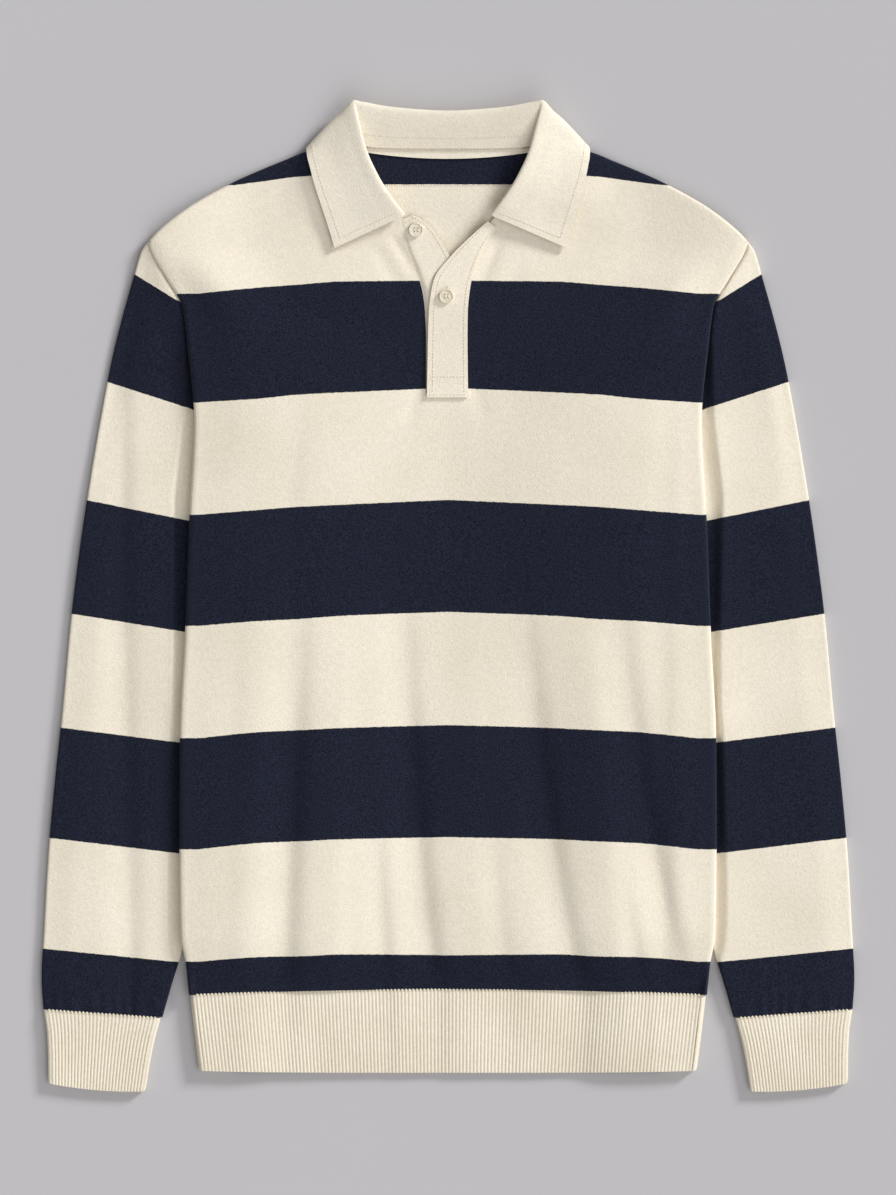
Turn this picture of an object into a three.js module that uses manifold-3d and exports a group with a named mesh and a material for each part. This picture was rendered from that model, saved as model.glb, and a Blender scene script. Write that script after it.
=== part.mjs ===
// A knitted, striped shirt with a collar and a button placket, laid flat with its front up.
// Its sides and the inner part of each sleeve are turned under. Millimetres, +Y to the collar, +Z up.

import * as THREE from 'three';
import Module from 'manifold-3d';
import { mergeVertices } from 'three/addons/utils/BufferGeometryUtils.js';

const wasm = await Module();
wasm.setup();

// Driving dimensions: cloth thicknesses, and the gap kept between pieces
const jersey = 1.2;
const rib = 1.5;
const ribRelief = 0.8;
const collarCloth = 2.0;
const bandCloth = 1.6;
const tapeCloth = 1.0;
const gap = 0.3;

// The body, from the hem seam up to the shoulder corner. half is half the width that shows,
// under the cloth turned under it, tuck the width that lies raised, and lift the height of the
// sleeve that lies beneath the edge.
const bodySections = [
  { y: -314, half: 204.5, under: 28, tuck: 34, lift: 0 },
  { y: -290, half: 207, under: 38, tuck: 44, lift: 1.4 },
  { y: -266, half: 211, under: 48, tuck: 54, lift: 3.3 },
  { y: -192, half: 212, under: 54, tuck: 60, lift: 3.3 },
  { y: -113, half: 211.7, under: 55, tuck: 61, lift: 3.3 },
  { y: -34, half: 207.8, under: 55, tuck: 61, lift: 3.3 },
  { y: 61, half: 204.2, under: 55, tuck: 61, lift: 3.3 },
  { y: 140, half: 200.2, under: 54, tuck: 60, lift: 3.3 },
  { y: 161, half: 201.5, under: 46, tuck: 54, lift: 3.3 },
  { y: 190, half: 204.8, under: 30, tuck: 40, lift: 3.3 },
  { y: 230, half: 210, under: 11, tuck: 20, lift: 3.3 },
  { y: 251, half: 222, under: 9, tuck: 18, lift: 3.3 },
  { y: 273, half: 234.6, under: 8, tuck: 16, lift: 3.3 },
  { y: 279.7, half: 236.8, under: 8, tuck: 16, lift: 3.3 },
];
const bodyRows = [
  -314, -290, -266, -230, -192, -152, -113, -74, -34, 6, 44, 80, 112, 140,
  161, 183, 206, 230, 247, 264, 279.7,
];
const slitFoot = 161;
const riseFrom = 165;
const hemSeam = { centre: -309.7, side: -314 };
const rampWidth = 75;

// The shoulder line as seen from above, from the neck out to the sleeve
const shoulderLine = [
  { x: 76, y: 358 },
  { x: 112, y: 351.6 },
  { x: 129, y: 345 },
  { x: 148.5, y: 337 },
  { x: 166, y: 329.2 },
  { x: 195, y: 313.6 },
  { x: 207.5, y: 305.5 },
  { x: 227, y: 289.9 },
  { x: 236.5, y: 279.7 },
];
const neckPoint = 75.5;
const shoulderRoll = 1.6;
const shoulderTurns = [-50, -10, 30, 70];

// The front neckline, from the slit out to the neck point
const neckLine = [
  { x: 34, y: 296.5 },
  { x: 44, y: 308 },
  { x: 54.3, y: 322 },
  { x: 62.2, y: 336 },
  { x: 68.5, y: 347 },
  { x: 75.5, y: 356.5 },
];
const backNeck = { centre: 356.2, side: 356.5 };

// The two edges of the slit, which the placket bands cover
const slitLine = [
  { y: 140, left: 17.4, right: 13.6 },
  { y: 203, left: 17.4, right: 13.4 },
  { y: 224, left: 18.2, right: 13.6 },
  { y: 240, left: 20, right: 14.8 },
  { y: 262, left: 27, right: 18.5 },
  { y: 279, left: 33, right: 24 },
  { y: 297, left: 34.5, right: 34.5 },
];

// How the rows between the hem seam and the shoulders bend into both
const riseCurve = 1.5;
const sagFade = 60;

// How far the front stands above the back: at its edges, in the middle and at the shoulders
const edgePuff = 1;
const middlePuff = 2.4;
const shoulderPuff = 2 * shoulderRoll - jersey - gap;
const leastPuff = 0.4;
const mostPuff = 3.5;
const edgeFade = { from: 4, over: 38 };
const shoulderFade = { from: 235, over: 45 };

// The largest folds of the front. Each is a soft trough that deepens towards the hem, or a ridge
// where its depth is below nothing.
const foldGrowth = 1.6;
const bodyFolds = [
  { xTop: -99, yTop: 60, xHem: -129, wide: 15, deep: 1.3 },
  { xTop: -31, yTop: 60, xHem: -10, wide: 13, deep: 1.2 },
  { xTop: -50, yTop: -150, xHem: -54, wide: 8, deep: 0.7 },
  { xTop: 58, yTop: 70, xHem: 101, wide: 15, deep: 1.3 },
  { xTop: 134, yTop: 60, xHem: 182, wide: 14, deep: 1.2 },
  { xTop: 36, yTop: -150, xHem: 38, wide: 8, deep: 0.6 },
  { xTop: -80, yTop: 40, xHem: -88, wide: 14, deep: -0.6 },
  { xTop: 16, yTop: 40, xHem: 20, wide: 12, deep: -0.6 },
  { xTop: 108, yTop: 40, xHem: 140, wide: 12, deep: -0.6 },
];

// A sleeve from the armhole to the cuff: its outer edge, and its inner edge beneath the body
const sleeveSections = [
  { xOut: 231, yOut: 279.5, xIn: 156.4, yIn: 160 },
  { xOut: 240, yOut: 274, xIn: 162, yIn: 138 },
  { xOut: 248.5, yOut: 250.4, xIn: 164.3, yIn: 122 },
  { xOut: 257.5, yOut: 219, xIn: 166, yIn: 104 },
  { xOut: 265.4, yOut: 187, xIn: 167.5, yIn: 86 },
  { xOut: 274.5, yOut: 140, xIn: 169.2, yIn: 58 },
  { xOut: 283, yOut: 90, xIn: 171.5, yIn: 24 },
  { xOut: 290.8, yOut: 38, xIn: 175, yIn: -16 },
  { xOut: 298, yOut: -20, xIn: 180, yIn: -62 },
  { xOut: 304.3, yOut: -88, xIn: 186, yIn: -112 },
  { xOut: 310.4, yOut: -145, xIn: 192, yIn: -165 },
  { xOut: 315.8, yOut: -205, xIn: 199, yIn: -219 },
  { xOut: 319, yOut: -262, xIn: 208, yIn: -272 },
  { xOut: 321, yOut: -300, xIn: 217.5, yIn: -304 },
  { xOut: 319.6, yOut: -325.2, xIn: 225.4, yIn: -331.6 },
];
const sleeveHeight = 4.8;
const sleeveEdgeHeight = 3.4;
const sleeveFolds = {
  left: [{ outTop: 0.66, outCuff: 0.4, wide: 0.12, deep: 1.1 }],
  right: [{ outTop: 0.62, outCuff: 0.5, wide: 0.12, deep: 1 }],
};
const sleeveFlank = 0.22;
const foldStart = 4;
const beneathBody = { from: 1, over: 15 };
const sleeveCells = { bottom: 4, seen: 8, hidden: 3, turn: 4 };
const edgeSearch = { first: 0.1, last: 0.9, step: 0.5 };

// A cuff from its seam to its end
const cuffSections = [
  { xOut: 319.2, yOut: -325.9, xIn: 227, yIn: -332.5 },
  { xOut: 317.6, yOut: -344, xIn: 230.5, yIn: -351.5 },
  { xOut: 316.2, yOut: -363, xIn: 234.5, yIn: -371 },
  { xOut: 315.4, yOut: -382, xIn: 239, yIn: -390.6 },
];
const cuffHeight = 4.2;
const cuffRibs = 29;
const cuffCells = { outerFlat: 4, outerTurn: 6, innerTop: 5, innerFlat: 4, innerTurn: 4 };

// The hem band from its seam to its end
const hemSections = [
  { share: 0, half: 204 },
  { share: 0.33, half: 201.8 },
  { share: 0.67, half: 199.4 },
  { share: 1, half: 197 },
];
const hemFoot = { centre: -375.6, side: -374 };
const hemUnder = 28;
const hemRibs = 138;
const hemPuff = 0.7;
const hemRampGap = 6;
const hemCells = { turn: 4, flap: 2, outerRoll: 8, innerRoll: 4, flat: 18, innerTop: 18 };

// Ribs stand only where a normal points higher than this
const lowestRib = { cuff: -0.2, hem: -0.3 };

// The collar from its front end round to the middle of the back: its neck seam, the top of its
// roll, and its outer edge. A drop gives the place where the leaf turns in beneath the back.
const collarStations = [
  { nx: 35.6, ny: 298, nz: 8, fx: 34.8, fy: 300.8, fz: 12.2, ex: 89.5, ey: 275.4 },
  { nx: 45, ny: 309, nz: 7.9, fx: 42.8, fy: 311.6, fz: 14, ex: 94, ey: 290.7 },
  { nx: 55.3, ny: 323, nz: 7.8, fx: 52, fy: 325, fz: 15.4, ex: 100.2, ey: 309.7 },
  { nx: 63.2, ny: 337, nz: 7.8, fx: 59.5, fy: 339.1, fz: 16.2, ex: 105.6, ey: 326.3 },
  { nx: 69.5, ny: 347.5, nz: 7.8, fx: 65, fy: 352.4, fz: 16.6, ex: 109, ey: 339.6 },
  { nx: 74.3, ny: 354.3, nz: 8, fx: 70.2, fy: 372.4, fz: 16.8, ex: 111.4, ey: 348.6, ez: 9.2 },
  {
    nx: 74.6, ny: 357.2, nz: 7.9, fx: 73.6, fy: 388.6, fz: 17,
    dx: 95, dy: 371.5, dz: 9.5, ex: 112, ey: 354.8, ez: 4.6,
  },
  {
    nx: 68.5, ny: 356.2, nz: 7, fx: 67.5, fy: 387.8, fz: 17,
    dx: 76, dy: 383, dz: 2.4, ex: 101, ey: 354, ez: 1,
  },
  {
    nx: 53.3, ny: 354.9, nz: 6.3, fx: 49.8, fy: 384.3, fz: 17,
    dx: 52, dy: 382, dz: 1.5, ex: 68, ey: 341, ez: 1,
  },
  {
    nx: 28.2, ny: 354.6, nz: 6.3, fx: 26, fy: 382, fz: 17,
    dx: 27, dy: 380, dz: 1.4, ex: 34, ey: 338, ez: 1,
  },
  {
    nx: 0, ny: 354.5, nz: 6.3, fx: 0, fy: 380.8, fz: 17,
    dx: 0, dy: 379, dz: 1.4, ex: 0, ey: 337, ez: 1,
  },
];
const rightPointShift = 4.2;
const leafLift = 0.2;
const leafPlaces = [
  { along: 0.24, height: 0.74 },
  { along: 0.6, height: 0.26 },
];
const dropBulge = 0.6;
const leafStations = 6;
const collarSteps = 40;
const collarPlaces = [0, 0.12, 0.2, 0.25, 0.31, 0.4, 0.5, 0.62, 0.75, 0.88, 1];
const collarRise = { height: 2.4, halfWidth: 106, fade: 30, from: 288, to: 322 };

// The placket bands, each from its foot up to the collar: left and right edges
const upperBand = [
  { xLeft: -16.7, yLeft: 157.5, xRight: 15.8, yRight: 157.5 },
  { xLeft: -16.2, yLeft: 180, xRight: 15.6, yRight: 180 },
  { xLeft: -15.8, yLeft: 203, xRight: 15.4, yRight: 203 },
  { xLeft: -15, yLeft: 226, xRight: 15.6, yRight: 224 },
  { xLeft: -11.2, yLeft: 250, xRight: 17.4, yRight: 243 },
  { xLeft: 1.3, yLeft: 268, xRight: 20.8, yRight: 259 },
  { xLeft: 14.6, yLeft: 281.6, xRight: 26.4, yRight: 274.5 },
  { xLeft: 25, yLeft: 291, xRight: 33, yRight: 285.5 },
  { xLeft: 31.5, yLeft: 296.6, xRight: 38, yRight: 291.5 },
];
const upperBandRise = { from: 255, to: 296, height: 1.6 };
const upperBandLift = 0.2;
const bandCells = 4;
const underBand = [
  { xLeft: -16.9, yLeft: 162, xRight: 13, yRight: 162 },
  { xLeft: -16.9, yLeft: 182, xRight: 12.9, yRight: 182 },
  { xLeft: -16.9, yLeft: 203, xRight: 12.8, yRight: 203 },
  { xLeft: -17.6, yLeft: 224, xRight: 12.6, yRight: 226 },
  { xLeft: -19.6, yLeft: 241, xRight: 10.5, yRight: 248 },
  { xLeft: -24.4, yLeft: 256, xRight: 2, yRight: 268 },
  { xLeft: -29.4, yLeft: 270, xRight: -8.5, yRight: 286.5 },
  { xLeft: -33, yLeft: 283, xRight: -18.5, yRight: 297 },
  { xLeft: -34, yLeft: 293, xRight: -28, yRight: 300 },
];

// The tape over the back neck seam
const tape = { half: 66, top: 354.1, lowCentre: 346, lowSide: 351.2, cells: 12 };

// The buttons. foot is where the underside starts to turn up, and slope the inner side of the rim.
const button = {
  radius: 5.75, thick: 2.6, plate: 1.9, rim: 1.2, hole: 0.75, holeOut: 1.35,
  foot: 1.2, footHeight: 0.9, bevel: 0.5, bevelHeight: 0.6, slope: 0.6, sides: 28, holeSides: 10,
};
const buttonSeat = 0.1;
const buttonPlaces = {
  button_top: { x: -25.3, y: 289.8 },
  button_lower: { x: -1.3, y: 237.2 },
};

const materials = {
  cream: { color: 0xece3d2, roughness: 0.95, metalness: 0 },
  creamRib: { color: 0xe3d8c4, roughness: 0.95, metalness: 0 },
  creamBand: { color: 0xe6dcc8, roughness: 0.9, metalness: 0 },
  buttonCream: { color: 0xe4dac4, roughness: 0.45, metalness: 0 },
};

const lerp = THREE.MathUtils.lerp;
const smooth = (t) => THREE.MathUtils.smoothstep(t, 0, 1);

/** Reads one column of a table at any place between its rows, smoothly and with no overshoot. */
function reader(table, place, column) {
  const xs = table.map((row) => row[place]);
  const ys = table.map((row) => row[column]);
  const last = xs.length - 1;
  const slopes = xs.slice(1).map((x, i) => (ys[i + 1] - ys[i]) / (x - xs[i]));
  const tangents = xs.map((x, i) => {
    if (i === 0) return slopes[0];
    if (i === last) return slopes[last - 1];
    const product = slopes[i - 1] * slopes[i];
    return product <= 0 ? 0 : (2 * product) / (slopes[i - 1] + slopes[i]);
  });
  return (at) => {
    if (at <= xs[0]) return ys[0];
    if (at >= xs[last]) return ys[last];
    const i = xs.findIndex((x) => x > at) - 1;
    const wide = xs[i + 1] - xs[i];
    const t = (at - xs[i]) / wide;
    const start = (2 * t ** 3 - 3 * t ** 2 + 1) * ys[i] + (3 * t ** 2 - 2 * t ** 3) * ys[i + 1];
    const bend = (t ** 3 - 2 * t ** 2 + t) * tangents[i] + (t ** 3 - t ** 2) * tangents[i + 1];
    return start + wide * bend;
  };
}

const halfAt = reader(bodySections, 'y', 'half');
const underAt = reader(bodySections, 'y', 'under');
const tuckAt = reader(bodySections, 'y', 'tuck');
const liftAt = reader(bodySections, 'y', 'lift');
const shoulderAt = reader(shoulderLine, 'x', 'y');
const neckAt = reader(neckLine, 'x', 'y');
const slitAt = { left: reader(slitLine, 'y', 'left'), right: reader(slitLine, 'y', 'right') };
const cornerY = bodyRows.at(-1);
const layer = jersey + gap;

/** The height of the back's middle surface above the floor. */
function backZ(x, y) {
  const inward = halfAt(y) - Math.abs(x);
  const share = 1 - smooth((inward - tuckAt(y)) / rampWidth);
  const sideRise = (liftAt(y) + 2 * layer) * share;
  const acrossShare = 1 - smooth((Math.abs(x) - collarRise.halfWidth) / collarRise.fade);
  const upShare = smooth((y - collarRise.from) / (collarRise.to - collarRise.from));
  return jersey / 2 + Math.max(sideRise, collarRise.height * acrossShare * upShare);
}

/** How deep the front's folds are at a place: more than nothing in a trough. */
function foldDepth(x, y) {
  return bodyFolds.reduce((sum, fold) => {
    const down = (fold.yTop - y) / (fold.yTop - hemSeam.centre);
    if (down <= 0) return sum;
    const off = (x - lerp(fold.xTop, fold.xHem, down)) / fold.wide;
    return sum + fold.deep * smooth(down * foldGrowth) * Math.exp(-off * off);
  }, 0);
}

/** The height of the front's middle surface. */
function frontZ(x, y) {
  const inward = halfAt(y) - Math.abs(x);
  const open = smooth((inward - edgeFade.from) / edgeFade.over);
  const middle = lerp(edgePuff, middlePuff, open) - foldDepth(x, y);
  const puff = lerp(middle, shoulderPuff, smooth((y - shoulderFade.from) / shoulderFade.over));
  return backZ(x, y) + layer + THREE.MathUtils.clamp(puff, leastPuff, mostPuff);
}

/** The seam where the body meets the hem band. */
function seamY(x) {
  const out = Math.min(1, Math.abs(x) / bodySections[0].half);
  return lerp(hemSeam.centre, hemSeam.side, out * out);
}

/** The y of a body column on a row, given where the column ends at the top. */
function columnY(x, rowY, topY) {
  const share = Math.max(0, (rowY - riseFrom) / (cornerY - riseFrom)) ** riseCurve;
  const sag = (seamY(x) - hemSeam.side) * (1 - smooth((rowY - hemSeam.side) / sagFade));
  return rowY + (topY - cornerY) * share + sag;
}

const flapCells = 2;
const rollCells = 4;
const sideCells = 9;
const neckCells = 4;

/** One side of a body row, from the turned-under end to the neck column. */
function sidePoints(rowY, side, isFront) {
  const edge = halfAt(rowY);
  const floorLevel = liftAt(rowY) + jersey / 2;
  const frontTop = floorLevel + 3 * layer + edgePuff;
  const frontRadius = (frontTop - floorLevel) / 2;
  const centre = edge - frontRadius - jersey / 2;
  const low = isFront ? floorLevel : floorLevel + layer;
  const high = isFront ? frontTop : floorLevel + 2 * layer;
  const radius = (high - low) / 2;
  const points = [];
  const add = (x, z) => points.push(new THREE.Vector3(side * x, columnY(x, rowY, cornerY), z));
  for (let k = 0; k < flapCells; k++) {
    add(lerp(edge - underAt(rowY), centre, k / flapCells), low);
  }
  for (let k = 0; k <= rollCells; k++) {
    const turn = -Math.PI / 2 + (Math.PI * k) / rollCells;
    add(centre + radius * Math.cos(turn), low + radius + radius * Math.sin(turn));
  }
  const topCentre = halfAt(cornerY) - frontRadius - jersey / 2;
  for (let k = 1; k <= sideCells; k++) {
    const share = k / sideCells;
    const x = lerp(centre, neckPoint, share);
    const topX = lerp(topCentre, neckPoint, share);
    const y = columnY(x, rowY, shoulderAt(topX) - shoulderRoll - jersey);
    const z = isFront ? frontZ(side * x, y) : backZ(side * x, y);
    points.push(new THREE.Vector3(side * x, y, z));
  }
  return points;
}

/** A row of the front, from the left turned-under end across to the right one. */
function frontRow(rowY) {
  const neckPoints = (side, name) => {
    const points = [];
    const slitTop = slitLine.at(-1)[name];
    for (let k = 1; k <= neckCells; k++) {
      const topX = lerp(neckPoint, slitTop, k / neckCells);
      const y = columnY(topX, rowY, neckAt(topX));
      const x = lerp(neckPoint, slitAt[name](y), k / neckCells);
      points.push(new THREE.Vector3(side * x, y, frontZ(side * x, y)));
    }
    return points;
  };
  const left = [...sidePoints(rowY, -1, true), ...neckPoints(-1, 'left')];
  const right = [...sidePoints(rowY, 1, true), ...neckPoints(1, 'right')];
  const middle = new THREE.Vector3(0, columnY(0, rowY, cornerY), 0);
  middle.z = frontZ(0, middle.y);
  return [...left, middle, ...right.reverse()];
}

/** A row of the back. */
function backRow(rowY) {
  const neckPoints = (side) => {
    const points = [];
    for (let k = 1; k <= neckCells; k++) {
      const x = lerp(neckPoint, 0, k / neckCells);
      const topY = lerp(backNeck.centre, backNeck.side, x / neckPoint);
      const y = columnY(x, rowY, topY);
      points.push(new THREE.Vector3(side * x, y, backZ(x, y)));
    }
    return points;
  };
  const left = [...sidePoints(rowY, -1, false), ...neckPoints(-1)];
  const right = [...sidePoints(rowY, 1, false), ...neckPoints(1)];
  return [...left, ...right.reverse().slice(1)];
}

/** Turns a list of triangles, three corners each, into a geometry. */
function geometryOf(triangles) {
  const geometry = new THREE.BufferGeometry();
  const numbers = triangles.flatMap((corner) => [corner.x, corner.y, corner.z]);
  geometry.setAttribute('position', new THREE.Float32BufferAttribute(numbers, 3));
  return geometry;
}

/** Gives a grid of middle points its thickness: a closed wall with rims round every open side. */
function clothWall(rows, thickness, { around = false, keep = () => true } = {}) {
  const columns = rows[0].length;
  const cellsAcross = around ? columns : columns - 1;
  const wrap = (c) => (around ? (c + columns) % columns : c);
  const kept = (r, c) => {
    if (r < 0 || r >= rows.length - 1) return false;
    if (!around && (c < 0 || c >= cellsAcross)) return false;
    return keep(r, wrap(c));
  };
  const cellNormal = (r, c) => {
    const a = rows[r][wrap(c)];
    const b = rows[r][wrap(c + 1)];
    const d = rows[r + 1][wrap(c)];
    const e = rows[r + 1][wrap(c + 1)];
    return e.clone().sub(a).cross(d.clone().sub(b)).normalize();
  };
  const normalAt = (r, c) => {
    const sum = new THREE.Vector3();
    for (const [dr, dc] of [[-1, -1], [-1, 0], [0, -1], [0, 0]]) {
      if (kept(r + dr, c + dc)) sum.add(cellNormal(r + dr, c + dc));
    }
    return sum.normalize();
  };
  const offset = (amount) => rows.map((row, r) =>
    row.map((point, c) => point.clone().addScaledVector(normalAt(r, c), amount)));
  const outer = offset(thickness / 2);
  const inner = offset(-thickness / 2);
  const triangles = [];
  const quad = (a, b, c, d) => triangles.push(a, b, c, a, c, d);
  for (let r = 0; r < rows.length - 1; r++) {
    for (let c = 0; c < cellsAcross; c++) {
      if (!kept(r, c)) continue;
      const d = wrap(c + 1);
      quad(outer[r][c], outer[r][d], outer[r + 1][d], outer[r + 1][c]);
      quad(inner[r][d], inner[r][c], inner[r + 1][c], inner[r + 1][d]);
      if (!kept(r - 1, c)) quad(outer[r][d], outer[r][c], inner[r][c], inner[r][d]);
      if (!kept(r + 1, c)) quad(outer[r + 1][c], outer[r + 1][d], inner[r + 1][d], inner[r + 1][c]);
      if (!kept(r, c - 1)) quad(outer[r][c], outer[r + 1][c], inner[r + 1][c], inner[r][c]);
      if (!kept(r, c + 1)) quad(outer[r + 1][d], outer[r][d], inner[r][d], inner[r + 1][d]);
    }
  }
  return geometryOf(triangles);
}

const firstSideColumn = flapCells + rollCells;
const lastSideColumn = firstSideColumn + sideCells;

/** The front panel: it ends flat at the shoulders, and a slit runs down from the neck. */
function makeFront() {
  const rows = bodyRows.map(frontRow);
  const slitColumns = [lastSideColumn + neckCells, lastSideColumn + neckCells + 1];
  const slitRow = bodyRows.indexOf(slitFoot);
  return clothWall(rows, jersey, { keep: (r, c) => r < slitRow || !slitColumns.includes(c) });
}

/** The back panel: at each shoulder it rolls up over the edge to meet the front. */
function makeBack() {
  const rows = bodyRows.map(backRow);
  const top = rows.at(-1);
  const last = top.length - 1;
  const onShoulder = (c) => {
    const fromSide = Math.min(c, last - c);
    return fromSide >= firstSideColumn && fromSide <= lastSideColumn;
  };
  for (const degrees of shoulderTurns) {
    const turn = THREE.MathUtils.degToRad(degrees);
    rows.push(top.map((point, c) => {
      if (!onShoulder(c)) return point;
      const before = top[onShoulder(c - 1) ? c - 1 : c];
      const after = top[onShoulder(c + 1) ? c + 1 : c];
      const out = new THREE.Vector3(before.y - after.y, after.x - before.x, 0).normalize();
      const roll = point.clone().addScaledVector(out, shoulderRoll * Math.cos(turn));
      roll.z += shoulderRoll + shoulderRoll * Math.sin(turn);
      return roll;
    }));
  }
  const bodyCells = bodyRows.length - 1;
  const keep = (r, c) => r < bodyCells || (onShoulder(c) && onShoulder(c + 1));
  return clothWall(rows, jersey, { keep });
}

const outlineStep = 6;
const bodyOutline = [];
for (let y = bodyRows[0]; y < cornerY; y += outlineStep) {
  bodyOutline.push(new THREE.Vector2(halfAt(y), y));
}
for (let x = shoulderLine.at(-1).x; x > shoulderLine[0].x; x -= outlineStep) {
  bodyOutline.push(new THREE.Vector2(x, shoulderAt(x)));
}

/** How far a place lies outside the body's edge, nothing when it is inside. */
function outsideBody(x, y) {
  const inside = y <= cornerY ? x < halfAt(y) : y < shoulderAt(x);
  if (inside && y > bodyRows[0]) return 0;
  return Math.min(...bodyOutline.map((place) => Math.hypot(place.x - x, place.y - y)));
}

/** One ring round a flattened tube, from its inner edge along the bottom and back along the top. */
function flatRing(section, side, wall, heightAt) {
  const out = new THREE.Vector3(section.xOut, section.yOut, 0);
  const inward = new THREE.Vector3(section.xIn, section.yIn, 0).sub(out);
  const wide = inward.length();
  inward.normalize();
  const points = [];
  const add = (from, z) => {
    const point = out.clone().addScaledVector(inward, from);
    points.push(new THREE.Vector3(side * point.x, point.y, z + wall / 2));
  };
  const radiusOut = heightAt(out.x, out.y, 0) / 2;
  const radiusIn = heightAt(section.xIn, section.yIn, 1) / 2;
  const first = radiusOut + wall / 2;
  const lastAt = wide - radiusIn - wall / 2;
  const cells = sleeveCells;
  for (let k = 0; k < cells.bottom; k++) add(lerp(lastAt, first, k / cells.bottom), 0);
  for (let k = 0; k < cells.turn; k++) {
    const turn = -Math.PI / 2 + (Math.PI * k) / cells.turn;
    add(first - radiusOut * Math.cos(turn), radiusOut + radiusOut * Math.sin(turn));
  }
  const placeAt = (from) => out.clone().addScaledVector(inward, from);
  const outside = (from) => outsideBody(placeAt(from).x, placeAt(from).y) > 0;
  let edge = lerp(first, lastAt, edgeSearch.first);
  const furthest = lerp(first, lastAt, edgeSearch.last);
  while (outside(edge) && edge < furthest) edge += edgeSearch.step;
  for (let k = 0; k < cells.seen + cells.hidden; k++) {
    const beyond = (k - cells.seen) / cells.hidden;
    const from = k <= cells.seen ? lerp(first, edge, k / cells.seen) : lerp(edge, lastAt, beyond);
    add(from, k === 0 ? 2 * radiusOut : heightAt(placeAt(from).x, placeAt(from).y, from / wide));
  }
  for (let k = 0; k < cells.turn; k++) {
    const turn = Math.PI / 2 - (Math.PI * k) / cells.turn;
    add(lastAt + radiusIn * Math.cos(turn), radiusIn + radiusIn * Math.sin(turn));
  }
  return side < 0 ? points : points.reverse();
}

/** A sleeve: a flattened tube, thin where it lies beneath the body. */
function makeSleeve(side, folds) {
  const last = sleeveSections.length - 1;
  const rows = sleeveSections.map((section, index) => {
    const heightAt = (x, y, share) => {
      const open = lerp(sleeveEdgeHeight, sleeveHeight, smooth(share / sleeveFlank));
      const fold = folds.reduce((sum, one) => {
        const off = (share - (1 - lerp(one.outTop, one.outCuff, index / last))) / one.wide;
        return sum + one.deep * Math.exp(-off * off) * smooth(index / foldStart);
      }, 0);
      const clear = (outsideBody(x, y) - beneathBody.from) / beneathBody.over;
      return lerp(layer, open - fold, smooth(clear));
    };
    return flatRing(section, side, jersey, heightAt);
  });
  return clothWall(rows.reverse(), jersey, { around: true });
}

/** Joins an outer and an inner line of rings into a tube wall, whose points may differ in number. */
function tubeWall(outerRings, innerRings) {
  const triangles = [];
  const skin = (rings, flip) => {
    for (let r = 0; r < rings.length - 1; r++) {
      const count = rings[r].length;
      for (let c = 0; c < count; c++) {
        const d = (c + 1) % count;
        const corners = [rings[r][c], rings[r][d], rings[r + 1][d], rings[r + 1][c]];
        if (flip) corners.reverse();
        const [p, q, s, t] = corners;
        triangles.push(p, q, s, p, s, t);
      }
    }
  };
  const cap = (outer, inner, faceDown) => {
    const flat = (point) => new THREE.Vector2(point.x, point.z);
    const places = [...outer, ...inner];
    const faces = THREE.ShapeUtils.triangulateShape(outer.map(flat), [inner.map(flat)]);
    for (const face of faces) {
      const [a, b, c] = face.map((index) => places[index]);
      const turn = flat(b).sub(flat(a)).cross(flat(c).sub(flat(a)));
      if ((turn > 0) === faceDown) triangles.push(a, b, c);
      else triangles.push(a, c, b);
    }
  };
  skin(outerRings, false);
  skin(innerRings, true);
  cap(outerRings[0], innerRings[0], false);
  cap(outerRings.at(-1), innerRings.at(-1), true);
  return geometryOf(triangles);
}

/** Points of a ring moved out along its own normals, by a raise that can differ at each point. */
function offsetRing(ring, raiseAt) {
  return ring.map((station, index) => {
    const raise = raiseAt(index);
    const point = new THREE.Vector3(station.x, 0, station.z);
    point.x += station.nx * raise;
    point.z += station.nz * raise;
    return point;
  });
}

/** The loop of a flattened cuff: across the floor, round the outer edge, back over the top. */
function cuffLoop(wide, topCells, bottomCells, turnCells) {
  const radius = cuffHeight / 2;
  const end = wide / 2 - radius - rib / 2;
  const stations = [];
  for (let k = 0; k < bottomCells; k++) {
    stations.push({ x: lerp(-end, end, k / bottomCells), z: 0, nx: 0, nz: -1, ribbed: false });
  }
  const turnRound = (sign, from) => {
    for (let k = 0; k < turnCells; k++) {
      const turn = from + (Math.PI * k) / turnCells;
      const nx = Math.cos(turn);
      const nz = Math.sin(turn);
      const x = sign * end + radius * nx;
      stations.push({ x, z: radius + radius * nz, nx, nz, ribbed: nz > lowestRib.cuff && k > 0 });
    }
  };
  turnRound(1, -Math.PI / 2);
  for (let k = 0; k < topCells; k++) {
    stations.push({ x: lerp(end, -end, k / topCells), z: 2 * radius, nx: 0, nz: 1, ribbed: true });
  }
  turnRound(-1, Math.PI / 2);
  return stations;
}

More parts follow.
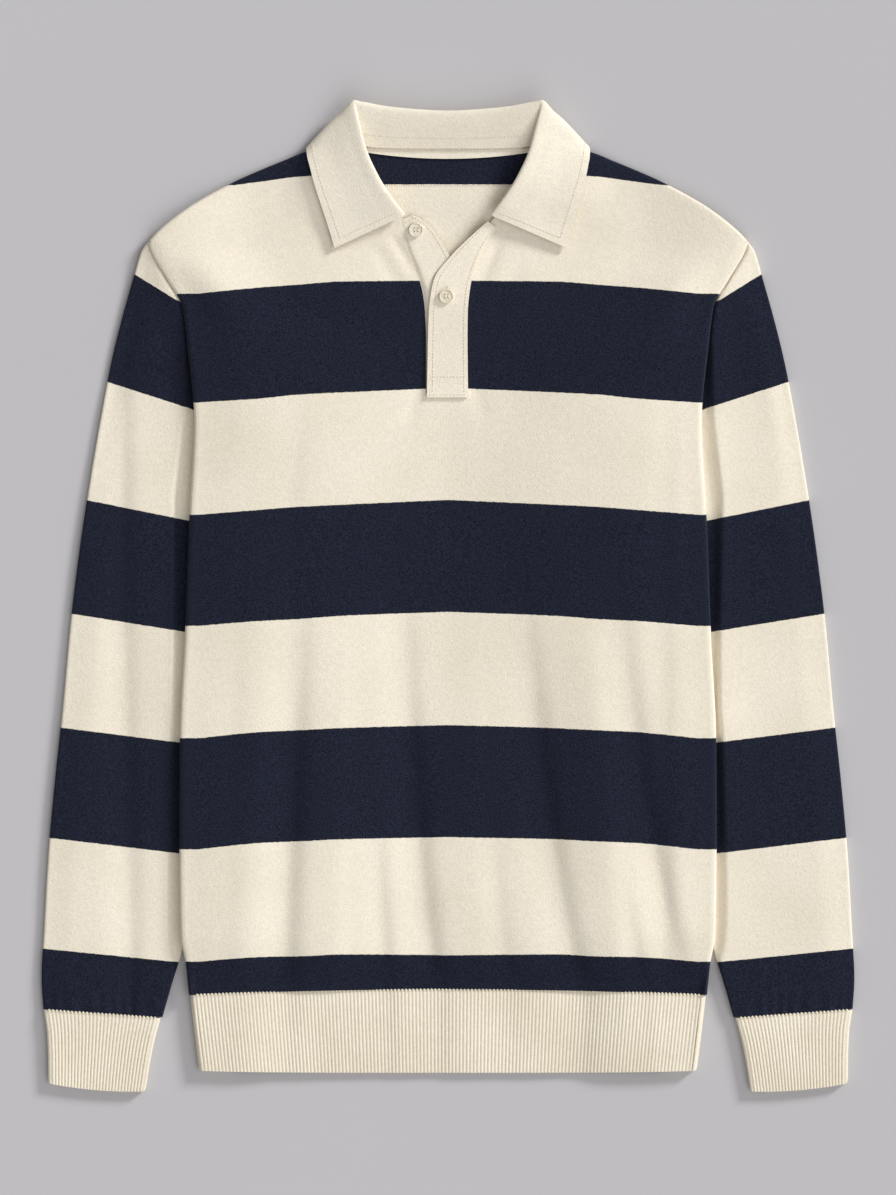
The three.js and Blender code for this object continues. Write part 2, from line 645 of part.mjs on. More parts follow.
/** A ribbed cuff. Ribs stand on its outer points, and its inside is plain. */
function makeCuff(side) {
  const ringsOf = (topCells, bottomCells, turnCells, raise) => cuffSections.map((section) => {
    const out = new THREE.Vector3(section.xOut, section.yOut, 0);
    const across = new THREE.Vector3(section.xIn, section.yIn, 0).sub(out);
    const middle = out.clone().addScaledVector(across, 0.5);
    const wide = across.length();
    across.normalize();
    const loop = cuffLoop(wide, topCells, bottomCells, turnCells);
    const ring = offsetRing(loop, (index) => raise(loop[index], index));
    return ring.map((point) => {
      const place = middle.clone().addScaledVector(across, -side * point.x);
      return new THREE.Vector3(side * place.x, place.y, point.z + rib / 2);
    });
  });
  const crest = (station, index) => rib / 2 + (station.ribbed && index % 2 ? ribRelief : 0);
  const cells = cuffCells;
  const outerRings = ringsOf(2 * cuffRibs, cells.outerFlat, cells.outerTurn, crest);
  const innerRings = ringsOf(cells.innerTop, cells.innerFlat, cells.innerTurn, () => -rib / 2);
  return tubeWall(outerRings, innerRings);
}

/** The loop of the hem band, whose two sides are turned under: every layer in one closed line. */
function hemLoop(half, topCells, rollCells) {
  const step = rib + gap;
  const levels = [0, step, 2 * step, 3 * step + hemPuff];
  const bigRadius = levels[3] / 2;
  const centre = half - bigRadius - rib / 2 - ribRelief;
  const innerEnd = half - hemUnder;
  const smallRadius = step / 2;
  const stations = [];
  const ramp = (x) => 1 - smooth((innerEnd - hemRampGap - Math.abs(x)) / rampWidth);
  const turnAt = (x, z, radius, from, to, cells, bend, ribbed) => {
    for (let k = 0; k < cells; k++) {
      const turn = THREE.MathUtils.degToRad(lerp(from, to, k / cells));
      const nx = Math.cos(turn);
      const nz = Math.sin(turn);
      stations.push({ x: x + radius * nx, z: z + radius * nz, nx: bend * nx, nz: bend * nz, ribbed });
    }
  };
  const line = (from, to, cells, zAt, nz, ribbed) => {
    for (let k = 0; k < cells; k++) {
      const x = lerp(from, to, k / cells);
      stations.push({ x, z: zAt(x), nx: 0, nz, ribbed });
    }
  };
  const top = (x) => levels[3] - levels[2] + levels[2] * ramp(x);
  const low = (x) => levels[2] * ramp(x);
  const { turn, flap, flat } = hemCells;
  line(-centre, centre, flat, low, -1, false);
  turnAt(centre, levels[1] + smallRadius, smallRadius, 90, -90, turn, -1, false);
  line(centre, innerEnd + smallRadius, flap, () => levels[1], 1, false);
  turnAt(innerEnd + smallRadius, smallRadius, smallRadius, 90, 270, turn, 1, false);
  line(innerEnd + smallRadius, centre, flap, () => 0, -1, false);
  turnAt(centre, bigRadius, bigRadius, -90, 90, rollCells, 1, true);
  line(centre, -centre, topCells, top, 1, true);
  turnAt(-centre, bigRadius, bigRadius, 90, 270, rollCells, 1, true);
  line(-centre, -innerEnd - smallRadius, flap, () => 0, -1, false);
  turnAt(-innerEnd - smallRadius, smallRadius, smallRadius, -90, 90, turn, 1, false);
  line(-innerEnd - smallRadius, -centre, flap, () => levels[1], 1, false);
  turnAt(-centre, levels[1] + smallRadius, smallRadius, 270, 90, turn, -1, false);
  return stations;
}

/** The ribbed hem band. */
function makeHemBand() {
  const ringsOf = (topCells, rollCells, raise) => hemSections.map((section) => {
    const loop = hemLoop(section.half, topCells, rollCells);
    const ring = offsetRing(loop, (index) => raise(loop[index], index));
    return ring.map((point) => {
      const out = Math.min(1, Math.abs(point.x) / section.half);
      const foot = lerp(hemFoot.centre, hemFoot.side, out ** 4);
      const y = lerp(seamY(point.x) - gap, foot, section.share);
      return new THREE.Vector3(point.x, y, point.z + rib / 2);
    });
  });
  const crest = (station, index) => {
    const raised = station.ribbed && station.nz > lowestRib.hem && index % 2 === 1;
    return rib / 2 + (raised ? ribRelief : 0);
  };
  const outerRings = ringsOf(2 * hemRibs, hemCells.outerRoll, crest);
  const innerRings = ringsOf(hemCells.innerTop, hemCells.innerRoll, () => -rib / 2);
  return tubeWall(outerRings, innerRings);
}

/** The five places that shape the collar's section at each station, as curves round the neck. */
function collarCurves() {
  const half = collarStations.map((row) => {
    const neck = new THREE.Vector3(row.nx, row.ny, row.nz);
    const fold = new THREE.Vector3(row.fx, row.fy, row.fz);
    const onFront = frontZ(row.ex, row.ey) + jersey / 2 + gap + collarCloth / 2 + leafLift;
    const edge = new THREE.Vector3(row.ex, row.ey, row.ez ?? onFront);
    if (row.dx === undefined) {
      const leaf = leafPlaces.map((place) => {
        const point = fold.clone().lerp(edge, place.along);
        point.z = lerp(edge.z, fold.z, place.height);
        return point;
      });
      return [neck, fold, ...leaf, edge];
    }
    const drop = new THREE.Vector3(row.dx, row.dy, row.dz);
    const side = fold.clone().lerp(drop, 0.5);
    side.y += dropBulge;
    return [neck, fold, side, drop, edge];
  });
  const shifted = [0, 0, ...leafPlaces.map((place) => place.along), 1];
  const right = half.map((section, index) => section.map((point, place) => {
    const mirrored = new THREE.Vector3(-point.x, point.y, point.z);
    const share = Math.max(0, 1 - index / leafStations) * shifted[place];
    mirrored.x -= rightPointShift * share;
    return mirrored;
  }));
  const round = [...right, ...half.slice(0, -1).reverse()];
  return shifted.map((_, place) => {
    const track = round.map((section) => section[place].clone().multiply(new THREE.Vector3(-1, 1, 1)));
    return new THREE.CatmullRomCurve3(track, false, 'centripetal');
  });
}

/** The collar: one piece that stands on the neck seam and folds down over its own roll. */
function makeCollar() {
  const curves = collarCurves();
  const rows = [];
  for (let step = 0; step <= collarSteps; step++) {
    const at = step / collarSteps;
    const section = new THREE.CatmullRomCurve3(
      curves.map((curve) => curve.getPoint(at)), false, 'centripetal');
    rows.push(collarPlaces.map((place) => {
      const point = section.getPoint(place);
      point.z = Math.max(point.z, collarCloth / 2);
      return point;
    }));
  }
  return clothWall(rows, collarCloth);
}

/** A band of cloth between two edges, at a height that a function gives. */
function makeBand(sections, heightAt) {
  const rows = sections.map((section) => {
    const points = [];
    for (let k = 0; k <= bandCells; k++) {
      const share = k / bandCells;
      const x = lerp(section.xLeft, section.xRight, share);
      const y = lerp(section.yLeft, section.yRight, share);
      points.push(new THREE.Vector3(x, y, heightAt(x, y, share)));
    }
    return points;
  });
  return clothWall(rows, bandCloth);
}

/** The height of the upper band's middle surface, whose left edge rises towards the collar. */
function upperBandZ(x, y, share) {
  const up = smooth((y - upperBandRise.from) / (upperBandRise.to - upperBandRise.from));
  const rise = upperBandRise.height * up * (1 - share);
  return frontZ(x, y) + bandCloth + gap + upperBandLift + rise;
}

/** The tape that covers the back neck seam. */
function makeNeckTape() {
  const rows = [1, 0.5, 0].map((down) => {
    const points = [];
    for (let k = 0; k <= tape.cells; k++) {
      const x = lerp(-tape.half, tape.half, k / tape.cells);
      const out = Math.abs(x) / tape.half;
      const low = lerp(tape.lowCentre, tape.lowSide, out ** 2);
      const y = lerp(tape.top, low, down);
      points.push(new THREE.Vector3(x, y, backZ(x, y) + jersey / 2 + gap + tapeCloth / 2));
    }
    return points;
  });
  return clothWall(rows, tapeCloth);
}

/** Turns a closed geometry into a solid that can be cut. */
function solidOf(geometry) {
  const bare = geometry.clone();
  bare.deleteAttribute('normal');
  bare.deleteAttribute('uv');
  const merged = mergeVertices(bare);
  const index = Array.from(merged.index.array);
  const triVerts = [];
  for (let k = 0; k < index.length; k += 3) {
    const [a, b, c] = index.slice(k, k + 3);
    if (a !== b && b !== c && c !== a) triVerts.push(a, b, c);
  }
  const vertProperties = new Float32Array(merged.attributes.position.array);
  const mesh = new wasm.Mesh({ numProp: 3, vertProperties, triVerts: new Uint32Array(triVerts) });
  return new wasm.Manifold(mesh);
}

/** A round button with a raised rim and four holes. */
function makeButton() {
  const profile = [
    new THREE.Vector2(0, 0),
    new THREE.Vector2(button.radius - button.foot, 0),
    new THREE.Vector2(button.radius, button.footHeight),
    new THREE.Vector2(button.radius, button.thick - button.bevelHeight),
    new THREE.Vector2(button.radius - button.bevel, button.thick),
    new THREE.Vector2(button.radius - button.rim, button.thick),
    new THREE.Vector2(button.radius - button.rim - button.slope, button.plate),
    new THREE.Vector2(0, button.plate),
  ];
  const disc = new THREE.LatheGeometry(profile, button.sides);
  disc.rotateX(Math.PI / 2);
  let solid = solidOf(disc);
  for (const [sx, sy] of [[1, 1], [1, -1], [-1, 1], [-1, -1]]) {
    const through = 3 * button.thick;
    const hole = new THREE.CylinderGeometry(button.hole, button.hole, through, button.holeSides);
    hole.rotateX(Math.PI / 2);
    hole.translate(sx * button.holeOut, sy * button.holeOut, 0);
    solid = solid.subtract(solidOf(hole));
  }
  const mesh = solid.getMesh();
  const geometry = new THREE.BufferGeometry();
  geometry.setAttribute('position', new THREE.BufferAttribute(mesh.vertProperties, 3));
  geometry.setIndex(new THREE.BufferAttribute(mesh.triVerts, 1));
  return geometry;
}

const shirt = new THREE.Group();

/** Adds one named piece to the shirt. */
function addPiece(name, geometry, look, place = new THREE.Vector3()) {
  const mesh = new THREE.Mesh(geometry, new THREE.MeshStandardMaterial(look));
  mesh.name = name;
  mesh.position.copy(place);
  shirt.add(mesh);
}

addPiece('front', makeFront(), materials.cream);
addPiece('back', makeBack(), materials.cream);
addPiece('sleeve_left', makeSleeve(-1, sleeveFolds.left), materials.cream);
addPiece('sleeve_right', makeSleeve(1, sleeveFolds.right), materials.cream);
addPiece('cuff_left', makeCuff(-1), materials.creamRib);
addPiece('cuff_right', makeCuff(1), materials.creamRib);
addPiece('hem_band', makeHemBand(), materials.creamRib);
addPiece('collar', makeCollar(), materials.creamBand);
addPiece('neck_tape', makeNeckTape(), materials.creamBand);
addPiece('placket_upper', makeBand(upperBand, upperBandZ), materials.creamBand);
addPiece('placket_under', makeBand(underBand, frontZ), materials.creamBand);

const topPlace = buttonPlaces.button_top;
const lowerPlace = buttonPlaces.button_lower;
const onBand = bandCloth / 2 + gap + buttonSeat;
addPiece('button_top', makeButton(), materials.buttonCream,
  new THREE.Vector3(topPlace.x, topPlace.y, frontZ(topPlace.x, topPlace.y) + onBand));
addPiece('button_lower', makeButton(), materials.buttonCream,
  new THREE.Vector3(lowerPlace.x, lowerPlace.y, upperBandZ(lowerPlace.x, lowerPlace.y, 0.5) + onBand));

export default shirt;
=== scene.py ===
import math

import bpy
import numpy as np
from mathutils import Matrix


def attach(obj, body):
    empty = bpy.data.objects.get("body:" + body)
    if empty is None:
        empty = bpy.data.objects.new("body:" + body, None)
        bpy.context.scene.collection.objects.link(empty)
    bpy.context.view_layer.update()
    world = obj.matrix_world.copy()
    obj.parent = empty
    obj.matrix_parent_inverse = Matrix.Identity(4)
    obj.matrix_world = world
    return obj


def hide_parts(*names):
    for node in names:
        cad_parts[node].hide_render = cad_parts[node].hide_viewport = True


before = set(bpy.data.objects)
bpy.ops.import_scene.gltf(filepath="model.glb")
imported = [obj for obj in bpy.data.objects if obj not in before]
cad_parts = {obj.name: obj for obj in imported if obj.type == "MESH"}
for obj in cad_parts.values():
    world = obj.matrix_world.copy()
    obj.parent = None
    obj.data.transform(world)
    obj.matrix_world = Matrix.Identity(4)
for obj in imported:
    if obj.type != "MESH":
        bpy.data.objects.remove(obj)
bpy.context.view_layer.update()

MM = 0.001

# Cloth thicknesses in millimetres, how far the ribs stand out, and the gap between layers
JERSEY = 1.2
RIB = 1.5
RELIEF = 0.48
COLLAR = 2.0
BAND = 1.6
TAPE = 1.0
GAP = 0.3
LAYER = JERSEY + GAP

# The body, from the hem seam up to the shoulder corner, in millimetres
BODY = {
    "y": [-314, -290, -266, -192, -113, -34, 61, 140, 161, 190, 230, 251, 273, 279.7],
    "half": [204.5, 207, 211, 212, 211.7, 207.8, 204.2, 200.2, 201.5, 204.8, 210, 222, 234.6, 236.8],
    "under": [28, 38, 48, 54, 55, 55, 55, 54, 46, 30, 11, 9, 8, 8],
    "tuck": [34, 44, 54, 60, 61, 61, 61, 60, 54, 40, 20, 18, 16, 16],
    "lift": [0, 1.4, 3.3, 3.3, 3.3, 3.3, 3.3, 3.3, 3.3, 3.3, 3.3, 3.3, 3.3, 3.3],
}
CORNER_Y = 279.7
SLIT_FOOT = 161
RISE_FROM = 165
SEAM_CENTRE = -309.7
SEAM_SIDE = -314
RAMP = 75
FRONT_RAMP = 150
SHOULDER = {
    "x": [76, 112, 129, 148.5, 166, 195, 207.5, 227, 236.5],
    "y": [358, 351.6, 345, 337, 329.2, 313.6, 305.5, 289.9, 279.7],
}
NECK_POINT = 75.5
SHOULDER_ROLL = 1.6
NECK = {"x": [34, 44, 54.3, 62.2, 68.5, 75.5], "y": [296.5, 308, 322, 336, 347, 356.5]}
BACK_NECK_Y = 356.3
SLIT = {
    "y": [140, 203, 224, 240, 262, 279, 297],
    "left": [17.4, 17.4, 18.2, 20, 27, 33, 34.5],
    "right": [13.6, 13.4, 13.6, 14.8, 18.5, 24, 34.5],
}
EDGE_PUFF = 4.3
SHOULDER_EDGE_PUFF = 0.5
EDGE_SQUASH = 0.33
SHOULDER_EDGE_SQUASH = 0.86
BACK_INSET = 0.9
SEAM_PUFF = 1.9
MOST_PUFF = 9
MIDDLE_PUFF = 6.3
SHOULDER_PUFF = 2 * SHOULDER_ROLL - JERSEY - GAP
COLLAR_RISE = {"height": 2.4, "half": 106, "fade": 30, "from": 288, "to": 322}
# Where the front changes its form, each from a place over a length
EDGE_FADE = (4, 38)
SEAM_FADE = 30
SHOULDER_FADE = (180, 70)
RAMP_FADE = (190, 50)
TOP_FADE = (235, 45)

# Soft folds of the front: where each starts and where it ends. A trough has deep above zero and a
# ridge below it. The two sides of a fold have their own share of its width, as folds lean to one
# side, and bend is how far its foot swings aside.
FOLD_LEFT = 1.6
FOLD_RIGHT = 0.75
FOLD_COLUMNS = ("x0", "y0", "x1", "y1", "bend", "wide", "deep")
FOLDS = [dict(zip(FOLD_COLUMNS, row)) for row in (
    (-108, 90, -138, -330, 8, 14, 3.2),
    (-40, 80, -20, -330, 14, 12, 3),
    (-58, -130, -50, -330, 4, 8, 1.6),
    (50, 90, 90, -330, 20, 13, 3),
    (28, -140, 50, -330, 0, 9, 0.8),
    (125, 80, 170, -330, 28, 12, 3),
    (136, -215, 158, -330, 0, 7, 1.1),
    (-84, 60, -92, -330, 0, 15, -1.2),
    (12, 60, 24, -330, 0, 20, -1.2),
    (104, 60, 136, -330, 0, 15, -1.2),
    (-165, 170, -177, -330, 0, 14, 0.9),
    (180, 200, 171, 60, 0, 9, 0.9),
    (-115, 200, -125, 60, 0, 12, 0.7),
)]

# Short creases beside the placket, below the collar and at its foot
CREASE_COLUMNS = ("x0", "y0", "x1", "y1", "wide", "deep")
NECK_CREASES = [dict(zip(CREASE_COLUMNS, row)) for row in (
    (-47, 291, -21, 245, 4.5, 1.2),
    (-60, 283, -30, 225, 7, 0.8),
    (44, 290, 21, 235, 5, 1.1),
    (60, 268, 34, 215, 8, 0.7),
    (-20, 176, -34, 128, 6, 0.7),
    (19, 176, 30, 132, 6, 0.6),
)]

# Stripe edges from the collar down, each at five distances from the centre line
STRIPE_X = [0, 85, 117, 148.5, 197]
STRIPE_EDGES = [
    [333, 332.6, 331, 327, 320.5],
    [248.9, 248.1, 245.7, 243.3, 238.6],
    [164.3, 160.4, 158.8, 155.6, 152.5],
    [75.8, 71.9, 70.3, 67.9, 64],
    [-12.6, -15.8, -18.2, -19.8, -23.7],
    [-101.9, -104.3, -105.9, -107.4, -112.2],
    [-190.4, -192, -193.6, -194.9, -199.9],
    [-283.6, -282.8, -284.2, -284.8, -288.4],
]
BACK_STRIPE_TOP = 325
SLEEVE_STRIPE_X = 227.5
SLEEVE_STRIPES = [
    {"y": 241.7, "slope": 0.62},
    {"y": 155.6, "slope": 0.32},
    {"y": 64, "slope": 0.2},
    {"y": -25.3, "slope": 0.16},
    {"y": -113.8, "slope": 0.125},
    {"y": -201.5, "slope": 0.12},
    {"y": -287.6, "slope": 0.1},
]

SLEEVE = {
    "x_out": [234, 241.2, 248.7, 257.5, 265.4, 274.5, 283, 290.8, 298, 304.3, 310.4, 315.8, 319, 321,
              319.6],
    "y_out": [283.5, 274.6, 250.4, 219, 187, 140, 90, 38, -20, -88, -145, -205, -262, -300, -325.2],
    "x_in": [156.4, 162, 164.3, 166, 167.5, 169.2, 171.5, 175, 180, 186, 192, 199, 208, 217.5, 225.4],
    "y_in": [160, 138, 122, 104, 86, 58, 24, -16, -62, -112, -165, -219, -272, -304, -331.6],
}
SLEEVE_HEIGHT = 4.8
# The valley where a sleeve goes under the body, at places counted in rows of the table above: how
# far from the body's edge its bank starts, how wide the bank is and how much the sleeve rises
VALLEY_AT = [0, 1.5, 3, 5.3, 8.6, 11.6, 14]
VALLEY = {
    -1: {
        "start": [-1.2, -1, 2.5, 9.5, 3, 5, 3],
        "wide": [3.2, 3.4, 6, 6, 5, 6, 6],
        "raised": [2.6, 1.8, 0.6, 0, 1.6, 0.6, 0],
    },
    1: {
        "start": [-1.2, -1, 3, 8, 0.6, 2, 1.5],
        "wide": [3.2, 3.4, 6, 7, 4.5, 8, 6],
        "raised": [2.8, 2.4, 2, 2.8, 2.6, 1.4, 0.4],
    },
}
SLEEVE_EDGE = 3.4
SLEEVE_SQUASH = 0.35
SLEEVE_CELLS = {"under": 8, "roll": 8, "top": 84, "edge": 4.5, "fine_rows": 22, "rows": 136}
# A long trough down the left sleeve, which drifts across it, as shares of the sleeve's width
SLEEVE_TROUGH = {"deep": 1.9, "place": 0.22, "level": 0.43, "drift": 0.9, "outer": 0.13, "inner": 0.08}
SLEEVE_RIDGE = {"high": 0.6, "place": 0.13, "wide": 0.06}
GATHERS = {"high": 0.4, "pitch": 1.7, "from": 13.1, "fade": 0.7}
CUFF = {
    "x_out": [319.2, 316.6, 315.8, 315.6],
    "y_out": [-325.9, -344.6, -364, -384],
    "x_in": [227, 232.2, 235.8, 238.6],
    "y_in": [-332.5, -352.5, -372, -390.4],
}
CUFF_SAG = 2.2
CUFF_CORNER = 2.6
CUFF_HEIGHT = 4.2
CUFF_RIBS = 29
HEM_HALF = {"share": [0, 0.33, 0.67, 1], "half": [204, 201.8, 199.4, 197]}
HEM_FOOT = {"centre": -375.6, "side": -374}
HEM_UNDER = 28
HEM_CORNER = 3.5
HEM_RIBS = 138
HEM_PUFF = 0.7
RIB_BULGE = 0.5
CUFF_ROWS = 26
HEM_ROWS = 22
# The rounded ends of the ribs, which reach over the cloth they are sewn to
RIB_END = {"below": 0.9, "above": 1.0, "thick": 1.9}

# The collar from its front end to the middle of the back: neck seam n, fold f, drop d, edge e
COLLAR_ROWS = [
    {"n": (38.4, 301.6, 8), "f": (34.9, 301, 11.6), "e": (89.5, 275.4, None)},
    {"n": (45, 309, 7.9), "f": (42.8, 311.6, 14), "e": (94, 290.7, None)},
    {"n": (55.3, 323, 7.8), "f": (52, 325, 15.4), "e": (100.2, 309.7, None)},
    {"n": (63.2, 337, 7.8), "f": (59.5, 339.1, 16.2), "e": (105.6, 326.3, None)},
    {"n": (69.5, 347.5, 7.8), "f": (65, 352.4, 16.6), "e": (109, 339.6, None)},
    {"n": (74.3, 354.3, 8), "f": (70.2, 372.4, 16.8), "e": (110.9, 347.6, 9.2)},
    {"n": (74.6, 357.2, 7.9), "f": (73.6, 388.6, 17), "d": (95, 371.5, 9.5), "e": (110.2, 355.4, 4.6)},
    {"n": (68.5, 356.2, 7), "f": (67.5, 387.8, 16.2), "d": (76, 383, 2.4), "e": (101, 354, 1)},
    {"n": (53.3, 354.9, 6.3), "f": (49.8, 384.3, 15), "d": (52, 382, 1.5), "e": (68, 341, 1)},
    {"n": (28.2, 354.4, 6.2), "f": (26, 382, 14.1), "d": (27, 380, 1.4), "e": (34, 338, 1)},
    {"n": (0, 354.3, 6.2), "f": (0, 380.8, 13.7), "d": (0, 379, 1.4), "e": (0, 337, 1)},
]
POINT_SHIFT = 4.2
LEAF_LIFT = 2.2

UPPER_BAND = {
    "xl": [-16.7, -16.2, -15.8, -15, -11.2, 1.3, 14.6, 25, 31.5],
    "yl": [157.5, 180, 203, 226, 250, 268, 281.6, 291, 296.6],
    "xr": [15.8, 15.6, 15.4, 15.6, 17.4, 20.8, 26.4, 33, 38],
    "yr": [157.5, 180, 203, 224, 243, 259, 274.5, 285.5, 291.5],
}
UNDER_BAND = {
    "xl": [-20, -20, -20, -20.8, -23, -28, -33, -36.4, -38],
    "yl": [162, 182, 203, 224, 241, 256, 270, 284, 297],
    "xr": [13, 12.9, 12.8, 12.6, 10.5, 2, -8.5, -18.5, -28],
    "yr": [162, 182, 203, 226, 248, 268, 286.5, 297, 301.5],
}
UNDER_DIP = 1.6
TAPE_SHAPE = {"half": 66, "top": 355.1, "low_centre": 346, "low_side": 351.2}
BUTTON = {
    "radius": 5.75, "thick": 2.6, "plate": 1.9, "hole": 0.75, "out": 1.35, "rim": 0.62, "bevel": 0.2,
}
BUTTONHOLE = {"x": -0.7, "low": 231.5, "high": 245.7, "half": 0.45}
BUTTON_PLACES = {"button_top": (-25.3, 289.8), "button_lower": (-1.3, 237.2)}


def smooth(t):
    t = np.clip(t, 0.0, 1.0)
    return t * t * (3 - 2 * t)


def fade(value, start, length):
    return smooth((value - start) / length)


def lerp(a, b, t):
    return a + (b - a) * t


def reader(xs, ys):
    """Reads a table at any place between its rows, smoothly and with no overshoot."""
    xs, ys = np.array(xs, float), np.array(ys, float)
    slopes = np.diff(ys) / np.diff(xs)
    tangents = np.empty(len(xs))
    tangents[0], tangents[-1] = slopes[0], slopes[-1]
    product = slopes[:-1] * slopes[1:]
    total = slopes[:-1] + slopes[1:]
    safe = np.where(total == 0, 1, total)
    tangents[1:-1] = np.where(product > 0, 2 * product / safe, 0)

    def at(x):
        x = np.clip(np.asarray(x, float), xs[0], xs[-1])
        i = np.clip(np.searchsorted(xs, x, side="right") - 1, 0, len(xs) - 2)
        wide = xs[i + 1] - xs[i]
        t = (x - xs[i]) / wide
        start = (2 * t**3 - 3 * t**2 + 1) * ys[i] + (3 * t**2 - 2 * t**3) * ys[i + 1]
        bend = (t**3 - 2 * t**2 + t) * tangents[i] + (t**3 - t**2) * tangents[i + 1]
        return start + wide * bend

    return at


half_at = reader(BODY["y"], BODY["half"])
under_at = reader(BODY["y"], BODY["under"])
tuck_at = reader(BODY["y"], BODY["tuck"])
lift_at = reader(BODY["y"], BODY["lift"])
shoulder_at = reader(SHOULDER["x"], SHOULDER["y"])
neck_at = reader(NECK["x"], NECK["y"])
slit_at = {side: reader(SLIT["y"], SLIT[side]) for side in ("left", "right")}


def back_z(x, y, ramp=RAMP):
    """The height of the back's middle surface."""
    inward = half_at(y) - np.abs(x)
    side_rise = (lift_at(y) + 2 * LAYER) * (1 - smooth((inward - tuck_at(y)) / ramp))
    across = 1 - smooth((np.abs(x) - COLLAR_RISE["half"]) / COLLAR_RISE["fade"])
    up = smooth((y - COLLAR_RISE["from"]) / (COLLAR_RISE["to"] - COLLAR_RISE["from"]))
    return JERSEY / 2 + np.maximum(side_rise, COLLAR_RISE["height"] * across * up)


def fold_depth(x, y):
    total = np.zeros(np.broadcast(x, y).shape)
    for fold in FOLDS:
        down = np.clip((fold["y0"] - y) / (fold["y0"] - fold["y1"]), 0, 1)
        centre = lerp(fold["x0"], fold["x1"], down) + fold["bend"] * down**4
        off = (x - centre) / fold["wide"]
        off = off / np.where(off < 0, FOLD_LEFT, FOLD_RIGHT)
        total += fold["deep"] * smooth(down * 1.6) * np.exp(-off * off)
    return total


def crease_depth(x, y):
    total = np.zeros(np.broadcast(x, y).shape)
    for crease in NECK_CREASES:
        down = (crease["y0"] - y) / (crease["y0"] - crease["y1"])
        off = (x - lerp(crease["x0"], crease["x1"], down)) / crease["wide"]
        along = smooth(down / 0.3) * (1 - fade(down, 0.6, 0.4))
        total += crease["deep"] * along * np.exp(-off * off)
    return total


def seam_wave(x):
    """What the folds leave along the hem seam."""
    return -0.35 * fold_depth(x, np.full(np.shape(x), SEAM_SIDE)) + 0.25


def soft_waves(x, y):
    """Slight unevenness that a laid cloth keeps everywhere."""
    wave = 0.22 * np.sin(x / 31 + 0.8 * np.sin(y / 57)) * np.sin(y / 43 + 1.3)
    wave += 0.14 * np.sin(x / 17 + y / 61 + 2.1) * np.sin(y / 29 - x / 83)
    return wave + 0.1 * np.sin((x + 0.6 * y) / 13.0 + 0.4) * np.sin((y - 0.3 * x) / 21.0)


def edge_puff(y):
    return lerp(EDGE_PUFF, SHOULDER_EDGE_PUFF, fade(y, *SHOULDER_FADE))


def edge_squash(y):
    """How much steeper than round the body's side edge turns down."""
    return lerp(EDGE_SQUASH, SHOULDER_EDGE_SQUASH, fade(y, *SHOULDER_FADE))


def front_z(x, y):
    """The height of the front's middle surface."""
    inward = half_at(y) - np.abs(x)
    open_share = fade(inward, *EDGE_FADE)
    middle = lerp(edge_puff(y), MIDDLE_PUFF, open_share) - fold_depth(x, y) * open_share
    middle = middle + soft_waves(x, y) * open_share
    near_seam = 1 - fade(y, seam_y(x), SEAM_FADE)
    middle = lerp(middle, SEAM_PUFF + seam_wave(x), near_seam)
    puff = lerp(middle, SHOULDER_PUFF, fade(y, *TOP_FADE)) - crease_depth(x, y)
    ramp = lerp(FRONT_RAMP, RAMP, fade(y, *RAMP_FADE))
    return back_z(x, y, ramp) + LAYER + np.clip(puff, 0.15, MOST_PUFF)


def seam_y(x):
    out = np.minimum(1, np.abs(x) / BODY["half"][0])
    return lerp(SEAM_CENTRE, SEAM_SIDE, out * out)


def column_y(x, row_y, top_y):
    share = np.maximum(0, (row_y - RISE_FROM) / (CORNER_Y - RISE_FROM)) ** 1.5
    sag = (seam_y(x) - SEAM_SIDE) * (1 - smooth((row_y - SEAM_SIDE) / 60))
    return row_y + (top_y - CORNER_Y) * share + sag


def stripe_at(x, y, edges, below):
    """Counts stripe edges passed on the way down: odd between navy edges, even between cream."""
    count = np.zeros(x.shape)
    for k, edge in enumerate(edges):
        lower = edges[k + 1] if k + 1 < len(edges) else edge - below
        part = (edge - y) / (edge - lower)
        if k == 0:
            count = np.where(part < 0, part, count)
        last = k + 1 == len(edges)
        count = np.where((part >= 0) & ((part < 1) | last), k + part, count)
    return count


def body_stripe(x, y, is_front=True):
    edges = [reader(STRIPE_X, row)(np.abs(x)) for row in STRIPE_EDGES]
    if not is_front:
        edges[0] = np.full(x.shape, float(BACK_STRIPE_TOP))
    return stripe_at(x, y, edges, 90)


def sleeve_stripe(x, y):
    edges = [row["y"] + row["slope"] * (np.abs(x) - SLEEVE_STRIPE_X) for row in SLEEVE_STRIPES]
    return stripe_at(x, y, edges, 90) + 1


